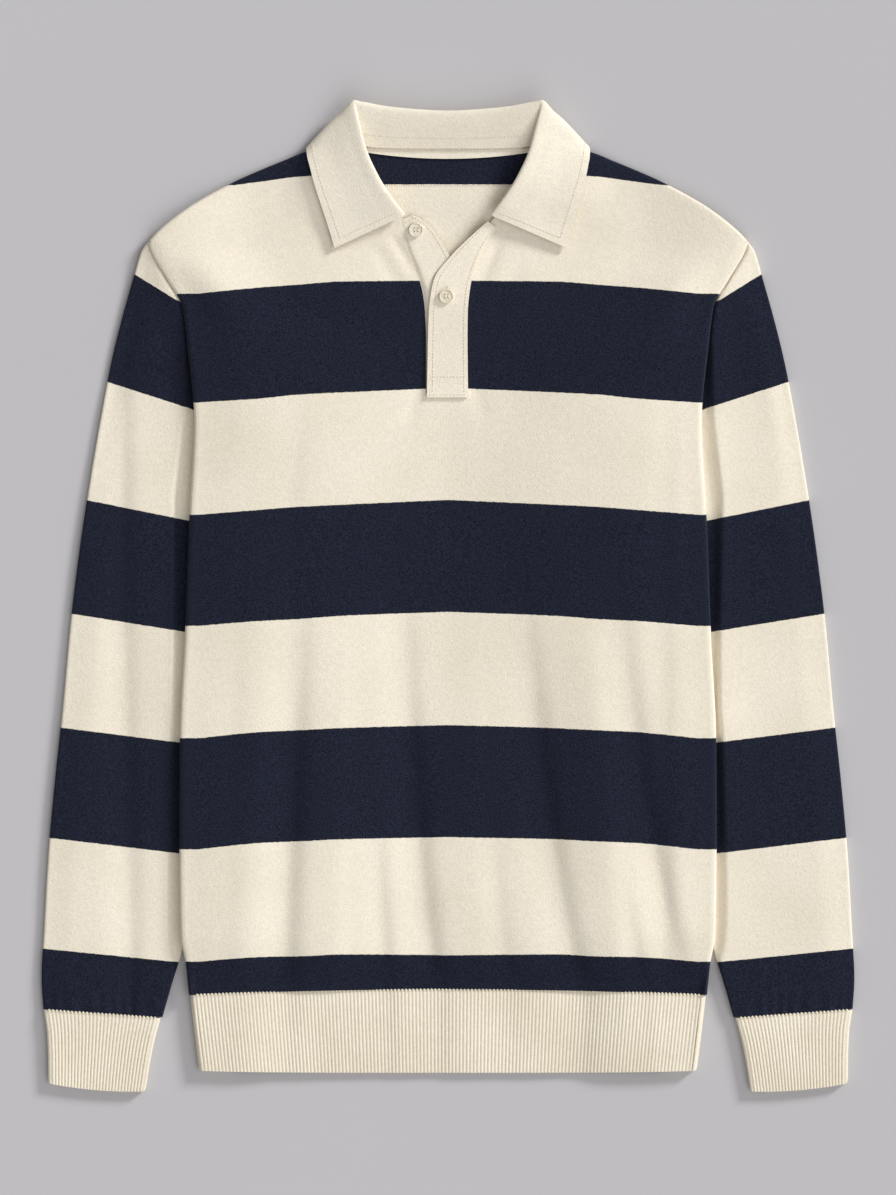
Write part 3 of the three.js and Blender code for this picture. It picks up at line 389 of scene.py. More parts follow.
def side_points(row_y, side, is_front, cells):
    """One side of a body row, from the turned-under end to the neck column."""
    edge = half_at(row_y)
    floor = lift_at(row_y) + JERSEY / 2
    front_top = floor + 3 * LAYER + edge_puff(row_y)
    squash = edge_squash(row_y)
    centre = edge - squash * (front_top - floor) / 2 - JERSEY / 2 - (0 if is_front else BACK_INSET)
    low = floor if is_front else floor + LAYER
    high = front_top if is_front else floor + 2 * LAYER
    radius = (high - low) / 2
    flap = np.arange(cells["flap"]) / cells["flap"]
    x = list(lerp(edge - under_at(row_y), centre, flap))
    z = [low] * len(x)
    turn = -np.pi / 2 + np.pi * np.arange(cells["roll"] + 1) / cells["roll"]
    x += list(centre + (squash if is_front else 1) * radius * np.cos(turn))
    z += list(low + radius + radius * np.sin(turn))
    y = list(column_y(np.array(x), row_y, CORNER_Y))
    top_centre = half_at(CORNER_Y) - squash * (front_top - floor) / 2 - JERSEY / 2
    share = np.arange(1, cells["side"] + 1) / cells["side"]
    xs = lerp(centre, NECK_POINT, share)
    top_x = lerp(top_centre, NECK_POINT, share)
    ys = column_y(xs, row_y, shoulder_at(top_x) - SHOULDER_ROLL - JERSEY)
    zs = front_z(side * xs, ys) if is_front else back_z(xs, ys)
    return np.column_stack([side * np.append(x, xs), np.append(y, ys), np.append(z, zs)])


def body_rows(step):
    lower = np.arange(SEAM_SIDE, SLIT_FOOT, step)
    upper = np.linspace(SLIT_FOOT, CORNER_Y, int((CORNER_Y - SLIT_FOOT) / (step * 0.62)))
    return np.append(lower, upper)


def wall_faces(kept, columns):
    """Faces of a closed wall over the kept cells of a grid: its two sides and its rims."""
    number = np.arange((len(kept) + 1) * columns).reshape(-1, columns)
    offset = number.size
    across = kept.shape[1]
    following = np.roll(number, -1, axis=1)[:, :across]
    p, q, t, s = number[:-1, :across], following[:-1], number[1:, :across], following[1:]
    faces = [np.stack([p, q, s, t], -1)[kept], np.stack([q, p, t, s], -1)[kept] + offset]
    beside = np.pad(kept, 1)
    if across == columns:
        beside[1:-1, 0], beside[1:-1, -1] = kept[:, -1], kept[:, 0]

    def rim(neighbour, first, second):
        f, g = first[kept & ~neighbour], second[kept & ~neighbour]
        faces.append(np.stack([g, f, f + offset, g + offset], -1))

    rim(beside[:-2, 1:-1], p, q)
    rim(beside[2:, 1:-1], s, t)
    rim(beside[1:-1, :-2], t, p)
    rim(beside[1:-1, 2:], q, s)
    return np.concatenate(faces)


def cloth_wall(grid, thickness, around=False, keep=None):
    """A closed wall on a grid of middle points: its outer and then its inner points, and its faces."""
    rows, columns = grid.shape[:2]
    across = columns if around else columns - 1
    kept = np.ones((rows - 1, across), bool) if keep is None else keep
    index = np.arange(across)
    nxt = (index + 1) % columns
    a, b = grid[:-1, index], grid[:-1, nxt]
    d, e = grid[1:, index], grid[1:, nxt]
    cell = np.cross(e - a, d - b)
    cell /= np.maximum(np.linalg.norm(cell, axis=2, keepdims=True), 1e-12)
    cell *= kept[..., None]
    summed = np.zeros_like(grid)
    for down, cols in ((0, index), (0, nxt), (1, index), (1, nxt)):
        np.add.at(summed, (slice(down, rows - 1 + down), cols), cell)
    normal = summed / np.maximum(np.linalg.norm(summed, axis=2, keepdims=True), 1e-12)
    sides = [grid + normal * thickness / 2, grid - normal * thickness / 2]
    return np.concatenate([side.reshape(-1, 3) for side in sides]), wall_faces(kept, columns)


def add_mesh(name, points, faces, attributes=None, uv=None):
    """Makes a mesh object from points in millimetres, without the points that no face uses."""
    used = np.unique(np.concatenate([np.ravel(face) for face in faces]))
    renumber = np.zeros(len(points), int)
    renumber[used] = np.arange(len(used))
    face_list = [renumber[list(face)].tolist() for face in faces]
    mesh = bpy.data.meshes.new(name)
    mesh.from_pydata((points[used] * MM).tolist(), [], face_list)
    for key, values in (attributes or {}).items():
        layer = mesh.attributes.new(key, "FLOAT", "POINT")
        layer.data.foreach_set("value", np.asarray(values, np.float32)[used])
    if uv is not None:
        loops = np.empty(len(mesh.loops), np.int32)
        mesh.loops.foreach_get("vertex_index", loops)
        layer = mesh.uv_layers.new(name="Cloth")
        layer.data.foreach_set("uv", (uv[used][loops] * MM).astype(np.float32).ravel())
    mesh.shade_smooth()
    mesh.set_sharp_from_angle(angle=math.radians(52))
    piece = bpy.data.objects.new(name, mesh)
    bpy.context.collection.objects.link(piece)
    return piece


def grid_uv(grid, middle):
    """Places on the cloth in millimetres: the length across from a middle column, and y."""
    across = np.linalg.norm(np.diff(grid, axis=1), axis=2)
    u = np.concatenate([np.zeros((len(grid), 1)), np.cumsum(across, axis=1)], axis=1)
    u -= u[:, middle:middle + 1]
    flat = np.stack([u, grid[..., 1]], -1).reshape(-1, 2)
    return np.concatenate([flat, flat])


# Materials

def nodes_of(material):
    material.use_nodes = True
    tree = material.node_tree
    tree.nodes.clear()
    output = tree.nodes.new("ShaderNodeOutputMaterial")
    shader = tree.nodes.new("ShaderNodeBsdfPrincipled")
    tree.links.new(shader.outputs[0], output.inputs[0])
    return tree, shader


def srgb(r, g, b):
    def channel(value):
        value /= 255
        return value / 12.92 if value <= 0.04045 else ((value + 0.055) / 1.055) ** 2.4
    return (channel(r), channel(g), channel(b), 1.0)


class Maker:
    """Adds nodes to a material in short calls."""

    def __init__(self, tree):
        self.tree = tree

    def add(self, kind, **values):
        node = self.tree.nodes.new(kind)
        for key, value in values.items():
            setattr(node, key, value)
        return node

    def put(self, socket, value):
        if isinstance(value, bpy.types.NodeSocket):
            self.tree.links.new(value, socket)
        else:
            socket.default_value = value

    def math(self, operation, a, b=0.0, c=0.0):
        node = self.add("ShaderNodeMath", operation=operation)
        for socket, value in zip(node.inputs, (a, b, c)):
            self.put(socket, value)
        return node.outputs[0]

    def mix(self, share, a, b, blend="MIX"):
        node = self.add("ShaderNodeMix", data_type="RGBA", blend_type=blend)
        self.put(node.inputs["Factor"], share)
        self.put(node.inputs[6], a)
        self.put(node.inputs[7], b)
        return node.outputs[2]

    def bump(self, shader, height, strength, distance):
        node = self.add("ShaderNodeBump")
        node.inputs["Strength"].default_value = strength
        node.inputs["Distance"].default_value = distance
        self.put(node.inputs["Height"], height)
        self.put(shader.inputs["Normal"], node.outputs[0])

    def noise(self, where, scale, detail=3.0, roughness=0.55):
        node = self.add("ShaderNodeTexNoise")
        self.put(node.inputs["Vector"], where)
        node.inputs["Scale"].default_value = scale
        node.inputs["Detail"].default_value = detail
        node.inputs["Roughness"].default_value = roughness
        return node.outputs["Fac"]

    def spread(self, value, low, high):
        node = self.add("ShaderNodeMapRange")
        self.put(node.inputs["Value"], value)
        node.inputs["From Min"].default_value = 0.3
        node.inputs["From Max"].default_value = 0.7
        node.inputs["To Min"].default_value = low
        node.inputs["To Max"].default_value = high
        return node.outputs[0]


CREAM = srgb(237, 228, 211)
CREAM_DARK = srgb(230, 221, 202)
NAVY = srgb(39, 43, 61)
NAVY_DARK = srgb(8, 12, 22)
BUTTON_LIGHT = srgb(236, 228, 208)
BUTTON_DARK = srgb(218, 207, 182)
CLOTH_SHADER = {
    "Roughness": 0.95, "Specular IOR Level": 0.06, "Sheen Weight": 0.06, "Sheen Roughness": 0.6,
}
BUTTON_SHADER = {
    "Roughness": 0.32, "Coat Weight": 0.2, "Subsurface Weight": 0.08, "Subsurface Scale": 0.002,
}


def cloth_material(name, light, dark, striped=False, knit=1.15, bump=0.35, twill=False):
    """A knitted or woven cotton: fine loops, slight unevenness, and stripes where it is striped."""
    material = bpy.data.materials.new(name)
    tree, shader = nodes_of(material)
    make = Maker(tree)
    place = make.add("ShaderNodeTexCoord").outputs["Object"]
    uv = make.add("ShaderNodeUVMap", uv_map="Cloth").outputs["UV"]
    parts = make.add("ShaderNodeSeparateXYZ")
    make.put(parts.inputs[0], uv)
    fine = make.noise(place, 900.0, 2.0, 0.6)
    grain = make.noise(place, 330.0, 3.0, 0.6)
    broad = make.noise(place, 14.0, 3.0, 0.5)
    turn = 2 * math.pi / (knit * MM)
    wale = make.math("SINE", make.math("MULTIPLY", parts.outputs[0], turn))
    slant = make.math("ABSOLUTE", wale)
    if twill:
        diagonal = make.math("ADD", parts.outputs[0], make.math("MULTIPLY", parts.outputs[1], 1.3))
        height = make.math("MULTIPLY", make.math("SINE", make.math("MULTIPLY", diagonal, turn)), 0.5)
    else:
        bent = make.math("MULTIPLY", slant, 1.6)
        course = make.math("MULTIPLY_ADD", parts.outputs[1], turn * 1.25, bent)
        loops = make.math("MULTIPLY", make.math("SINE", course), 0.3)
        height = make.math("ADD", make.math("MULTIPLY", slant, 0.2), loops)
    noise_height = make.math("MULTIPLY_ADD", fine, 2.6, make.math("MULTIPLY", grain, 0.9))
    rough_height = make.math("MULTIPLY_ADD", height, 0.15, noise_height)
    base = make.mix(make.spread(broad, 0.0, 1.0), light, dark)
    if striped:
        count = make.add("ShaderNodeAttribute", attribute_name="stripe").outputs["Fac"]
        teeth = make.math("ADD", make.math("MULTIPLY", slant, 0.006), make.math("MULTIPLY", grain, 0.012))
        turned = make.math("FLOORED_MODULO", make.math("ADD", count, teeth), 2.0)
        navy_share = make.math("GREATER_THAN", turned, 1.0)
        navy = make.mix(make.spread(fine, 0.0, 1.0), NAVY, NAVY_DARK)
        base = make.mix(navy_share, base, navy)
    speckle = make.spread(make.math("MULTIPLY", make.math("ADD", fine, grain), 0.5), 0.895, 1.075)
    shade = make.math("MULTIPLY_ADD", height, 0.05, speckle)
    grey = make.add("ShaderNodeCombineColor")
    for socket in grey.inputs:
        make.put(socket, shade)
    make.put(shader.inputs["Base Color"], make.mix(1.0, base, grey.outputs[0], "MULTIPLY"))
    for key, value in CLOTH_SHADER.items():
        shader.inputs[key].default_value = value
    make.bump(shader, rough_height, bump, 0.0004)
    return material


def button_material():
    material = bpy.data.materials.new("button_resin")
    tree, shader = nodes_of(material)
    make = Maker(tree)
    place = make.add("ShaderNodeTexCoord").outputs["Object"]
    cloud = make.noise(place, 260.0, 4.0, 0.6)
    colour = make.mix(make.spread(cloud, 0.0, 1.0), BUTTON_LIGHT, BUTTON_DARK)
    make.put(shader.inputs["Base Color"], colour)
    for key, value in BUTTON_SHADER.items():
        shader.inputs[key].default_value = value
    make.bump(shader, make.noise(place, 700.0, 2.0), 0.08, 0.0003)
    return material


JERSEY_LOOK = cloth_material("striped_jersey", CREAM, CREAM_DARK, striped=True)
RIB_LOOK = cloth_material("rib_knit", srgb(234, 225, 206), srgb(222, 211, 190), knit=1.4)
COLLAR_LOOK = cloth_material(
    "collar_twill", srgb(243, 234, 217), srgb(231, 222, 204), knit=1.3, twill=True)
BUTTON_LOOK = button_material()
ROSE_LOOK = cloth_material("rose_thread", srgb(196, 172, 168), srgb(176, 150, 148), knit=0.5, bump=0.3)
THREAD_LOOK = cloth_material("thread", srgb(226, 216, 196), srgb(212, 200, 178), knit=0.5, bump=0.3)


def finish_piece(piece, look, node=None):
    piece.data.materials.append(look)
    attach(piece, "root")
    if node:
        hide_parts(node)
    return piece


# Body

FRONT_CELLS = {"flap": 3, "roll": 8, "side": 46}
FRONT_NECK_CELLS = 18
SLOT_CELLS = 10
BACK_CELLS = {"flap": 3, "roll": 6, "side": 30}
BACK_NECK_CELLS = 16

# How the last rows turn over the shoulders: radius, up or down, and the turns in degrees
FRONT_ROLL = (2.0, -1, np.radians(np.linspace(75, 5, 6)))
BACK_ROLL = (1.1, 1, np.radians(np.linspace(-75, 30, 6)))


def shoulder_rows(top, first, last, radius, up, turns):
    """Rows that turn over the shoulder: up from the back, or down from the front."""
    column = np.arange(len(top))
    from_side = np.minimum(column, len(top) - 1 - column)
    on_shoulder = (from_side >= first) & (from_side <= last)
    tangent = np.gradient(top, axis=0)
    out = np.column_stack([-tangent[:, 1], tangent[:, 0], np.zeros(len(top))])
    out /= np.maximum(np.linalg.norm(out, axis=1, keepdims=True), 1e-9)
    rows = []
    for turn in turns:
        roll = top + out * radius * np.cos(turn)
        roll[:, 2] = top[:, 2] + up * radius + radius * np.sin(turn)
        rows.append(np.where(on_shoulder[:, None], roll, top))
    return rows, on_shoulder


def front_row(row_y):
    def neck_points(side, name):
        share = np.arange(1, FRONT_NECK_CELLS + 1) / FRONT_NECK_CELLS
        top_x = lerp(NECK_POINT, slit_at[name](CORNER_Y + 20), share)
        y = column_y(top_x, row_y, neck_at(top_x))
        x = side * lerp(NECK_POINT, slit_at[name](y), share)
        return np.column_stack([x, y, front_z(x, y)])

    left = np.concatenate([side_points(row_y, -1, True, FRONT_CELLS), neck_points(-1, "left")])
    right = np.concatenate([side_points(row_y, 1, True, FRONT_CELLS), neck_points(1, "right")])
    share = np.arange(1, SLOT_CELLS)[:, None] / SLOT_CELLS
    slot = lerp(left[-1], right[-1], share)
    slot[:, 2] = front_z(slot[:, 0], slot[:, 1])
    return np.concatenate([left, slot, right[::-1]])


def back_row(row_y):
    share = np.arange(1, BACK_NECK_CELLS + 1) / BACK_NECK_CELLS
    x = lerp(NECK_POINT, 0, share)
    y = column_y(x, row_y, BACK_NECK_Y)
    neck = np.column_stack([x, y, back_z(x, y)])
    left = np.concatenate([side_points(row_y, -1, False, BACK_CELLS), neck * [-1, 1, 1]])
    right = np.concatenate([side_points(row_y, 1, False, BACK_CELLS), neck])
    return np.concatenate([left, right[::-1][1:]])


def add_jersey(name, node, grid, stripe, uv, **wall):
    points, faces = cloth_wall(grid, JERSEY, **wall)
    stripes = {"stripe": np.concatenate([stripe.ravel()] * 2)}
    piece = add_mesh(name, points, faces, stripes, uv)
    return finish_piece(piece, JERSEY_LOOK, node)


def make_panel(name, node, step, row_at, cells, roll):
    """The front or back from its rows, the last of which turn over the shoulders."""
    rows = body_rows(step)
    flat_rows = [row_at(row_y) for row_y in rows]
    first = cells["flap"] + cells["roll"]
    rolled, on_shoulder = shoulder_rows(flat_rows[-1], first, first + cells["side"], *roll)
    grid = np.array(flat_rows + rolled)
    is_front = node == "front"
    keep = np.ones((len(grid) - 1, grid.shape[1] - 1), bool)
    keep[len(rows) - 1:] = on_shoulder[:-1] & on_shoulder[1:]
    if is_front:
        first_slot = sum(cells.values()) + FRONT_NECK_CELLS
        keep[np.searchsorted(rows, SLIT_FOOT):, first_slot:first_slot + SLOT_CELLS] = False
    stripe = body_stripe(grid[..., 0], grid[..., 1], is_front)
    return add_jersey(name, node, grid, stripe, grid_uv(grid, grid.shape[1] // 2), keep=keep)


# Sleeves

outline_y = np.arange(SEAM_SIDE, CORNER_Y, 0.5)
outline_x = np.arange(SHOULDER["x"][-1], 76, -0.5)
OUTLINE = np.column_stack([
    np.append(half_at(outline_y), outline_x),
    np.append(outline_y, shoulder_at(outline_x)),
])


def outside_body(x, y):
    """How far places lie outside the body's edge, less than nothing inside it."""
    far = np.hypot(OUTLINE[:, 0][:, None] - x, OUTLINE[:, 1][:, None] - y).min(axis=0)
    inside = np.where(y <= CORNER_Y, x < half_at(y), y < shoulder_at(x)) & (y > SEAM_SIDE)
    return np.where(inside, -far, far)


def sleeve_height(side, at, down, share, distance, place):
    """The height of a sleeve's upper layer along one row, beside and under the body."""
    start, bank, raised = (np.interp(at, VALLEY_AT, values) for values in VALLEY[side].values())
    height = lerp(SLEEVE_EDGE, SLEEVE_HEIGHT, smooth(share / 0.22))
    if side < 0:
        trough = SLEEVE_TROUGH
        centre = np.clip(trough["place"] + (down - trough["level"]) * trough["drift"], 0.1, 0.85)
        off = (share - centre) / np.where(share < centre, trough["outer"], trough["inner"])
        height = height - trough["deep"] * np.exp(-off * off) * smooth(at / 4)
    off = (share - SLEEVE_RIDGE["place"]) / SLEEVE_RIDGE["wide"]
    along = fade(at, 1, 2) * smooth((7 - at) / 3)
    height = height + SLEEVE_RIDGE["high"] * np.exp(-off * off) * along
    waves = soft_waves(side * place[:, 0] * 1.3 + 20 * side, place[:, 1])
    gathers = np.sin(distance / GATHERS["pitch"] + 2.2 * np.sin(distance / 9.5) + side)
    near_cuff = fade(at, GATHERS["from"], GATHERS["fade"])
    waves = waves + GATHERS["high"] * gathers * near_cuff * smooth(share / 0.1)
    off_body = outside_body(place[:, 0], place[:, 1])
    reach = lerp(14, 24, fade(at, 1, 3))
    risen = height + waves + raised * np.exp(-(off_body / reach) ** 2)
    return lerp(LAYER, np.clip(risen, 1.6, 7.6), fade(off_body, start, bank))


def sleeve_grid(side):
    """Rings round a flattened sleeve, from its cuff seam up to the shoulder."""
    cells = SLEEVE_CELLS
    count = len(SLEEVE["x_out"]) - 1
    tracks = {key: reader(np.arange(count + 1), values) for key, values in SLEEVE.items()}
    upper, lower = np.linspace(0, 2, cells["fine_rows"]), np.linspace(2, count, cells["rows"])
    rows = []
    for at in np.append(upper[:-1], lower):
        out = np.array([tracks["x_out"](at), tracks["y_out"](at)])
        inner = np.array([tracks["x_in"](at), tracks["y_in"](at)])
        wide = np.linalg.norm(inner - out)
        inward = (inner - out) / wide

        def height(distance):
            place = out + np.outer(distance, inward)
            return sleeve_height(side, at, at / count, distance / wide, distance, place)

        radius_out = float(height(np.array([0.0]))[0]) / 2
        radius_in = float(height(np.array([wide]))[0]) / 2
        first = radius_out * SLEEVE_SQUASH + JERSEY / 2
        last = wide - radius_in * SLEEVE_SQUASH - JERSEY / 2
        under = lerp(last, first, np.arange(cells["under"]) / cells["under"])
        turn = -np.pi / 2 + np.pi * np.arange(cells["roll"]) / cells["roll"]
        top = lerp(first, last, np.arange(cells["top"]) / cells["top"])
        top_height = height(top)
        meeting = np.exp(-np.arange(cells["top"]) / cells["edge"])
        top_height = top_height + (2 * radius_out - top_height[0]) * meeting
        distance = np.concatenate([
            under, first - SLEEVE_SQUASH * radius_out * np.cos(turn),
            top, last + SLEEVE_SQUASH * radius_in * np.cos(turn)])
        z = np.concatenate([
            np.zeros(cells["under"]), radius_out * (1 + np.sin(turn)),
            top_height, radius_in * (1 + np.sin(-turn))])
        plan = out + np.outer(distance, inward)
        ring = np.column_stack([side * plan[:, 0], plan[:, 1], z + JERSEY / 2])
        rows.append(ring if side < 0 else ring[::-1])
    return np.array(rows[::-1])


def make_sleeve(side, name):
    grid = sleeve_grid(side)
    stripe = sleeve_stripe(grid[..., 0], grid[..., 1])
    uv = np.concatenate([grid[..., :2].reshape(-1, 2)] * 2)
    return add_jersey(name + "_cloth", name, grid, stripe, uv, around=True)


# Stitches

STITCH_RINGS = ((0, 0.45, -0.25), (0.25, 0.95, -0.02), (0.75, 0.95, -0.02), (1, 0.45, -0.25))
STITCH_SIDES = 6


def add_stitches(name, spines, thick, look):
    """Short rounded stitches, one from each start point to its end point."""
    points, faces = [], []
    sides = STITCH_SIDES
    for start, stop in spines:
        along = (stop - start) / np.linalg.norm(stop - start)
        side = np.cross(along, [0, 0, 1.0])
        side /= np.linalg.norm(side)
        up = np.cross(side, along)
        first = len(points)
        for place, size, sink in STITCH_RINGS:
            centre = lerp(start, stop, place) + up * (thick * sink)
            for k in range(sides):
                angle = 2 * math.pi * k / sides
                points.append(centre + (side * math.cos(angle) + up * math.sin(angle)) * thick / 2 * size)
        for ring in range(3):
            for k in range(sides):
                p = first + ring * sides + k
                q = first + ring * sides + (k + 1) % sides
                faces.append([p, q, q + sides, p + sides])
        faces.append([first + k for k in range(sides)][::-1])
        faces.append([first + 3 * sides + k for k in range(sides)])
    points = np.array(points)
    return finish_piece(add_mesh(name, points, faces, None, points[:, :2]), look)


def stitch_row(name, line, pitch=2.6, length=1.9, thick=0.6, look=THREAD_LOOK):
    """A row of short stitches along a line of points that lie on the cloth's surface."""
    line = np.asarray(line, float)
    steps = np.linalg.norm(np.diff(line, axis=0), axis=1)
    far = np.concatenate([[0], np.cumsum(steps)])
    count = int(far[-1] / pitch)
    middles = (np.arange(count) + 0.5) * far[-1] / count
    spines = [[np.array([np.interp(middle + end, far, line[:, k]) for k in range(3)])
               for end in (-length / 2, length / 2)] for middle in middles]
    return add_stitches(name, spines, thick, look)


def add_rib_ends(name, rows, nz, ribs):
    """One rounded end for each rib of a ribbed piece, on the rib's crown at the seam."""
    crown = (nz > 0.99) & np.isclose(ribs % 1, 0.5)
    end = rows[0][crown]
    along = end - rows[1][crown]
    along /= np.linalg.norm(along, axis=1, keepdims=True)
    spines = np.stack([end - along * RIB_END["below"], end + along * RIB_END["above"]], 1)
    add_stitches(name, spines, RIB_END["thick"], RIB_LOOK)


# Ribbed pieces

RIB_STEPS = 6


def rib_raise(turns, share):
    """How far a rib stands out, from its place across the ribs and along their length."""
    wave = 0.5 - 0.5 * np.cos(2 * np.pi * turns)
    settle = lerp(0.72, 1.0, smooth(share / 0.12)) * lerp(1.0, 0.86, smooth((share - 0.94) / 0.06))
    return RELIEF * settle * wave**0.55


def tube(rings, name):
    """A tube wall from its outer and its inner rings, which have the same number of points."""
    outer, inner = (np.array(rows) for rows in rings)
    points = np.concatenate([outer.reshape(-1, 3), inner.reshape(-1, 3)])
    uv = np.concatenate([outer[..., :2].reshape(-1, 2)] * 2)
    faces = wall_faces(np.ones((len(outer) - 1, outer.shape[1]), bool), outer.shape[1])
    return add_mesh(name, points, faces, None, uv)


def flat_run(start, end, cells, height, up, ribs):
    """Stations along a flat stretch of a ribbed loop: x, z, the normal's x and z, and rib turns."""
    share = np.arange(cells) / cells
    x = lerp(start, end, share)
    return [x, height(x), np.zeros(cells), np.full(cells, up), share * ribs]


def round_run(x, z, radius, start, end, cells, bend, ribs):
    """Stations round an edge, between two angles: bend is -1 where the middle is on the outside."""
    share = np.arange(cells) / cells
    angle = np.radians(lerp(start, end, share))
    nx, nz = np.cos(angle), np.sin(angle)
    return [x + radius * nx, z + radius * nz, bend * nx, bend * nz, ribs(share)]


def at_level(value):
    return lambda x: np.full(x.shape, float(value))


def plain(share):
    return 0 * share


def joined(runs):
    return [np.concatenate(part) for part in zip(*runs)]


def cuff_loop(wide):
    """Stations round a flattened cuff: place, normal, and rib turns, or nothing where plain."""
    radius = CUFF_HEIGHT / 2
    end = wide / 2 - radius - RIB / 2
    turn = np.pi * np.arange(12) / 12
    top = np.arange(CUFF_RIBS * RIB_STEPS) / (CUFF_RIBS * RIB_STEPS)
    x = [lerp(-end, end, np.arange(20) / 20), end + radius * np.cos(turn - np.pi / 2)]
    z = [np.zeros(20), radius * (1 + np.sin(turn - np.pi / 2))]
    nx = [np.zeros(20), np.cos(turn - np.pi / 2)]
    nz = [np.full(20, -1.0), np.sin(turn - np.pi / 2)]
    ribs = [np.zeros(20), 2 * turn / np.pi * (turn > np.pi / 2)]
    x += [lerp(end, -end, top), -end + radius * np.cos(turn + np.pi / 2)]
    z += [np.full(len(top), 2 * radius), radius * (1 + np.sin(turn + np.pi / 2))]
    nx += [np.zeros(len(top)), np.cos(turn + np.pi / 2)]
    nz += [np.ones(len(top)), np.sin(turn + np.pi / 2)]
    ribs += [top * CUFF_RIBS, 2 * turn / np.pi * (turn < np.pi / 2)]
    return [np.concatenate(part) for part in (x, z, nx, nz, ribs)]


def make_cuff(side, name):
    tracks = {key: reader([0, 1 / 3, 2 / 3, 1], values) for key, values in CUFF.items()}
    rings = ([], [])
    for share in np.linspace(0, 1, CUFF_ROWS):
        out = np.array([tracks["x_out"](share), tracks["y_out"](share)])
        across = np.array([tracks["x_in"](share), tracks["y_in"](share)]) - out
        wide = np.linalg.norm(across)
        middle, across = out + across / 2, across / wide
        x, z, nx, nz, ribs = cuff_loop(wide)
        bulge = RIB_BULGE * np.sin(np.pi * share) * (nz > 0.5)
        for raised, rows in zip((RIB / 2 + rib_raise(ribs, share), -RIB / 2), rings):
            off = np.minimum(np.abs(x + nx * raised), wide / 2)
            corner = np.maximum(0, (off - wide / 2) / CUFF_CORNER + 1)
            foot = CUFF_CORNER * (1 - np.sqrt(1 - corner**2)) - CUFF_SAG * (1 - (2 * off / wide) ** 2)
            plan = middle + np.outer(-side * (x + nx * raised), across)
            y = plan[:, 1] + foot * share
            rows.append(np.column_stack([side * plan[:, 0], y, z + nz * raised + RIB / 2 + bulge]))
    add_rib_ends(name + "_rib_ends", rings[0], nz, ribs)
    piece = tube(rings, name + "_rib")
    return finish_piece(piece, RIB_LOOK, name)


def hem_loop(half):
    """Stations round the hem band, whose two sides are turned under."""
    step = RIB + GAP
    top_level = 3 * step + HEM_PUFF
    big = top_level / 2
    centre = half - big - RIB / 2 - 0.8
    inner_end = half - HEM_UNDER
    small = step / 2

    def low(x):
        return 2 * step * (1 - smooth((inner_end - 6 - np.abs(x)) / RAMP))

    def top(x):
        waves = 0.9 * soft_waves(x * 0.9, np.full(x.shape, -340.0)) + 0.8 * seam_wave(x)
        return top_level - 2 * step + low(x) + waves

    def edge_ribs(share):
        return 3 * share

    return joined([
        flat_run(-centre, centre, 60, low, -1.0, 0),
        round_run(centre, step + small, small, 90, -90, 6, -1, plain),
        flat_run(centre, inner_end + small, 6, at_level(step), 1.0, 0),
        round_run(inner_end + small, small, small, 90, 270, 6, 1, plain),
        flat_run(inner_end + small, centre, 6, at_level(0), -1.0, 0),
        round_run(centre, big, big, -90, 90, 18, 1, edge_ribs),
        flat_run(centre, -centre, HEM_RIBS * RIB_STEPS, top, 1.0, HEM_RIBS),
        round_run(-centre, big, big, 90, 270, 18, 1, edge_ribs),
        flat_run(-centre, -inner_end - small, 6, at_level(0), -1.0, 0),
        round_run(-inner_end - small, small, small, -90, 90, 6, 1, plain),
        flat_run(-inner_end - small, -centre, 6, at_level(step), 1.0, 0),
        round_run(-centre, step + small, small, 270, 90, 6, -1, plain),
    ])


def make_hem_band():
    half_of = reader(HEM_HALF["share"], HEM_HALF["half"])
    rings = ([], [])
    for share in np.linspace(0, 1, HEM_ROWS):
        x, z, nx, nz, ribs = hem_loop(float(half_of(share)))
        crowns = np.where(nz > -0.3, rib_raise(ribs, share), 0)
        bulge = RIB_BULGE * np.sin(np.pi * share) * np.where((nz > 0.5) & (ribs > 0), 1, 0)
        for raised, rows in zip((RIB / 2 + crowns, -RIB / 2), rings):
            px = x + nx * raised
            out = np.minimum(1, np.abs(px) / half_of(share))
            foot = lerp(HEM_FOOT["centre"], HEM_FOOT["side"], out**4)
            corner = np.clip((np.abs(px) - half_of(share)) / HEM_CORNER + 1, 0, 1)
            foot = foot + HEM_CORNER * (1 - np.sqrt(1 - corner * corner))
            y = lerp(seam_y(px) - GAP, foot, share)
            rows.append(np.column_stack([px, y, z + nz * raised + RIB / 2 + bulge]))
    add_rib_ends("hem_band_rib_ends", rings[0], nz, ribs)
    piece = tube(rings, "hem_band_rib")
    return finish_piece(piece, RIB_LOOK, "hem_band")


# Collar, tape and placket

def spline(points, count):
    """A smooth line through points, read at count places evenly spread over their row numbers."""
    points = np.asarray(points, float)
    at = np.linspace(0, len(points) - 1, count)
    i = np.clip(np.floor(at).astype(int), 0, len(points) - 2)
    t = (at - i)[:, None]
    padded = np.concatenate([[2 * points[0] - points[1]], points, [2 * points[-1] - points[-2]]])
    p0, p1, p2, p3 = (padded[i + k] for k in range(4))
    return 0.5 * (2 * p1 + (p2 - p0) * t + (2 * p0 - 5 * p1 + 4 * p2 - p3) * t**2
                  + (3 * p1 - p0 - 3 * p2 + p3) * t**3)


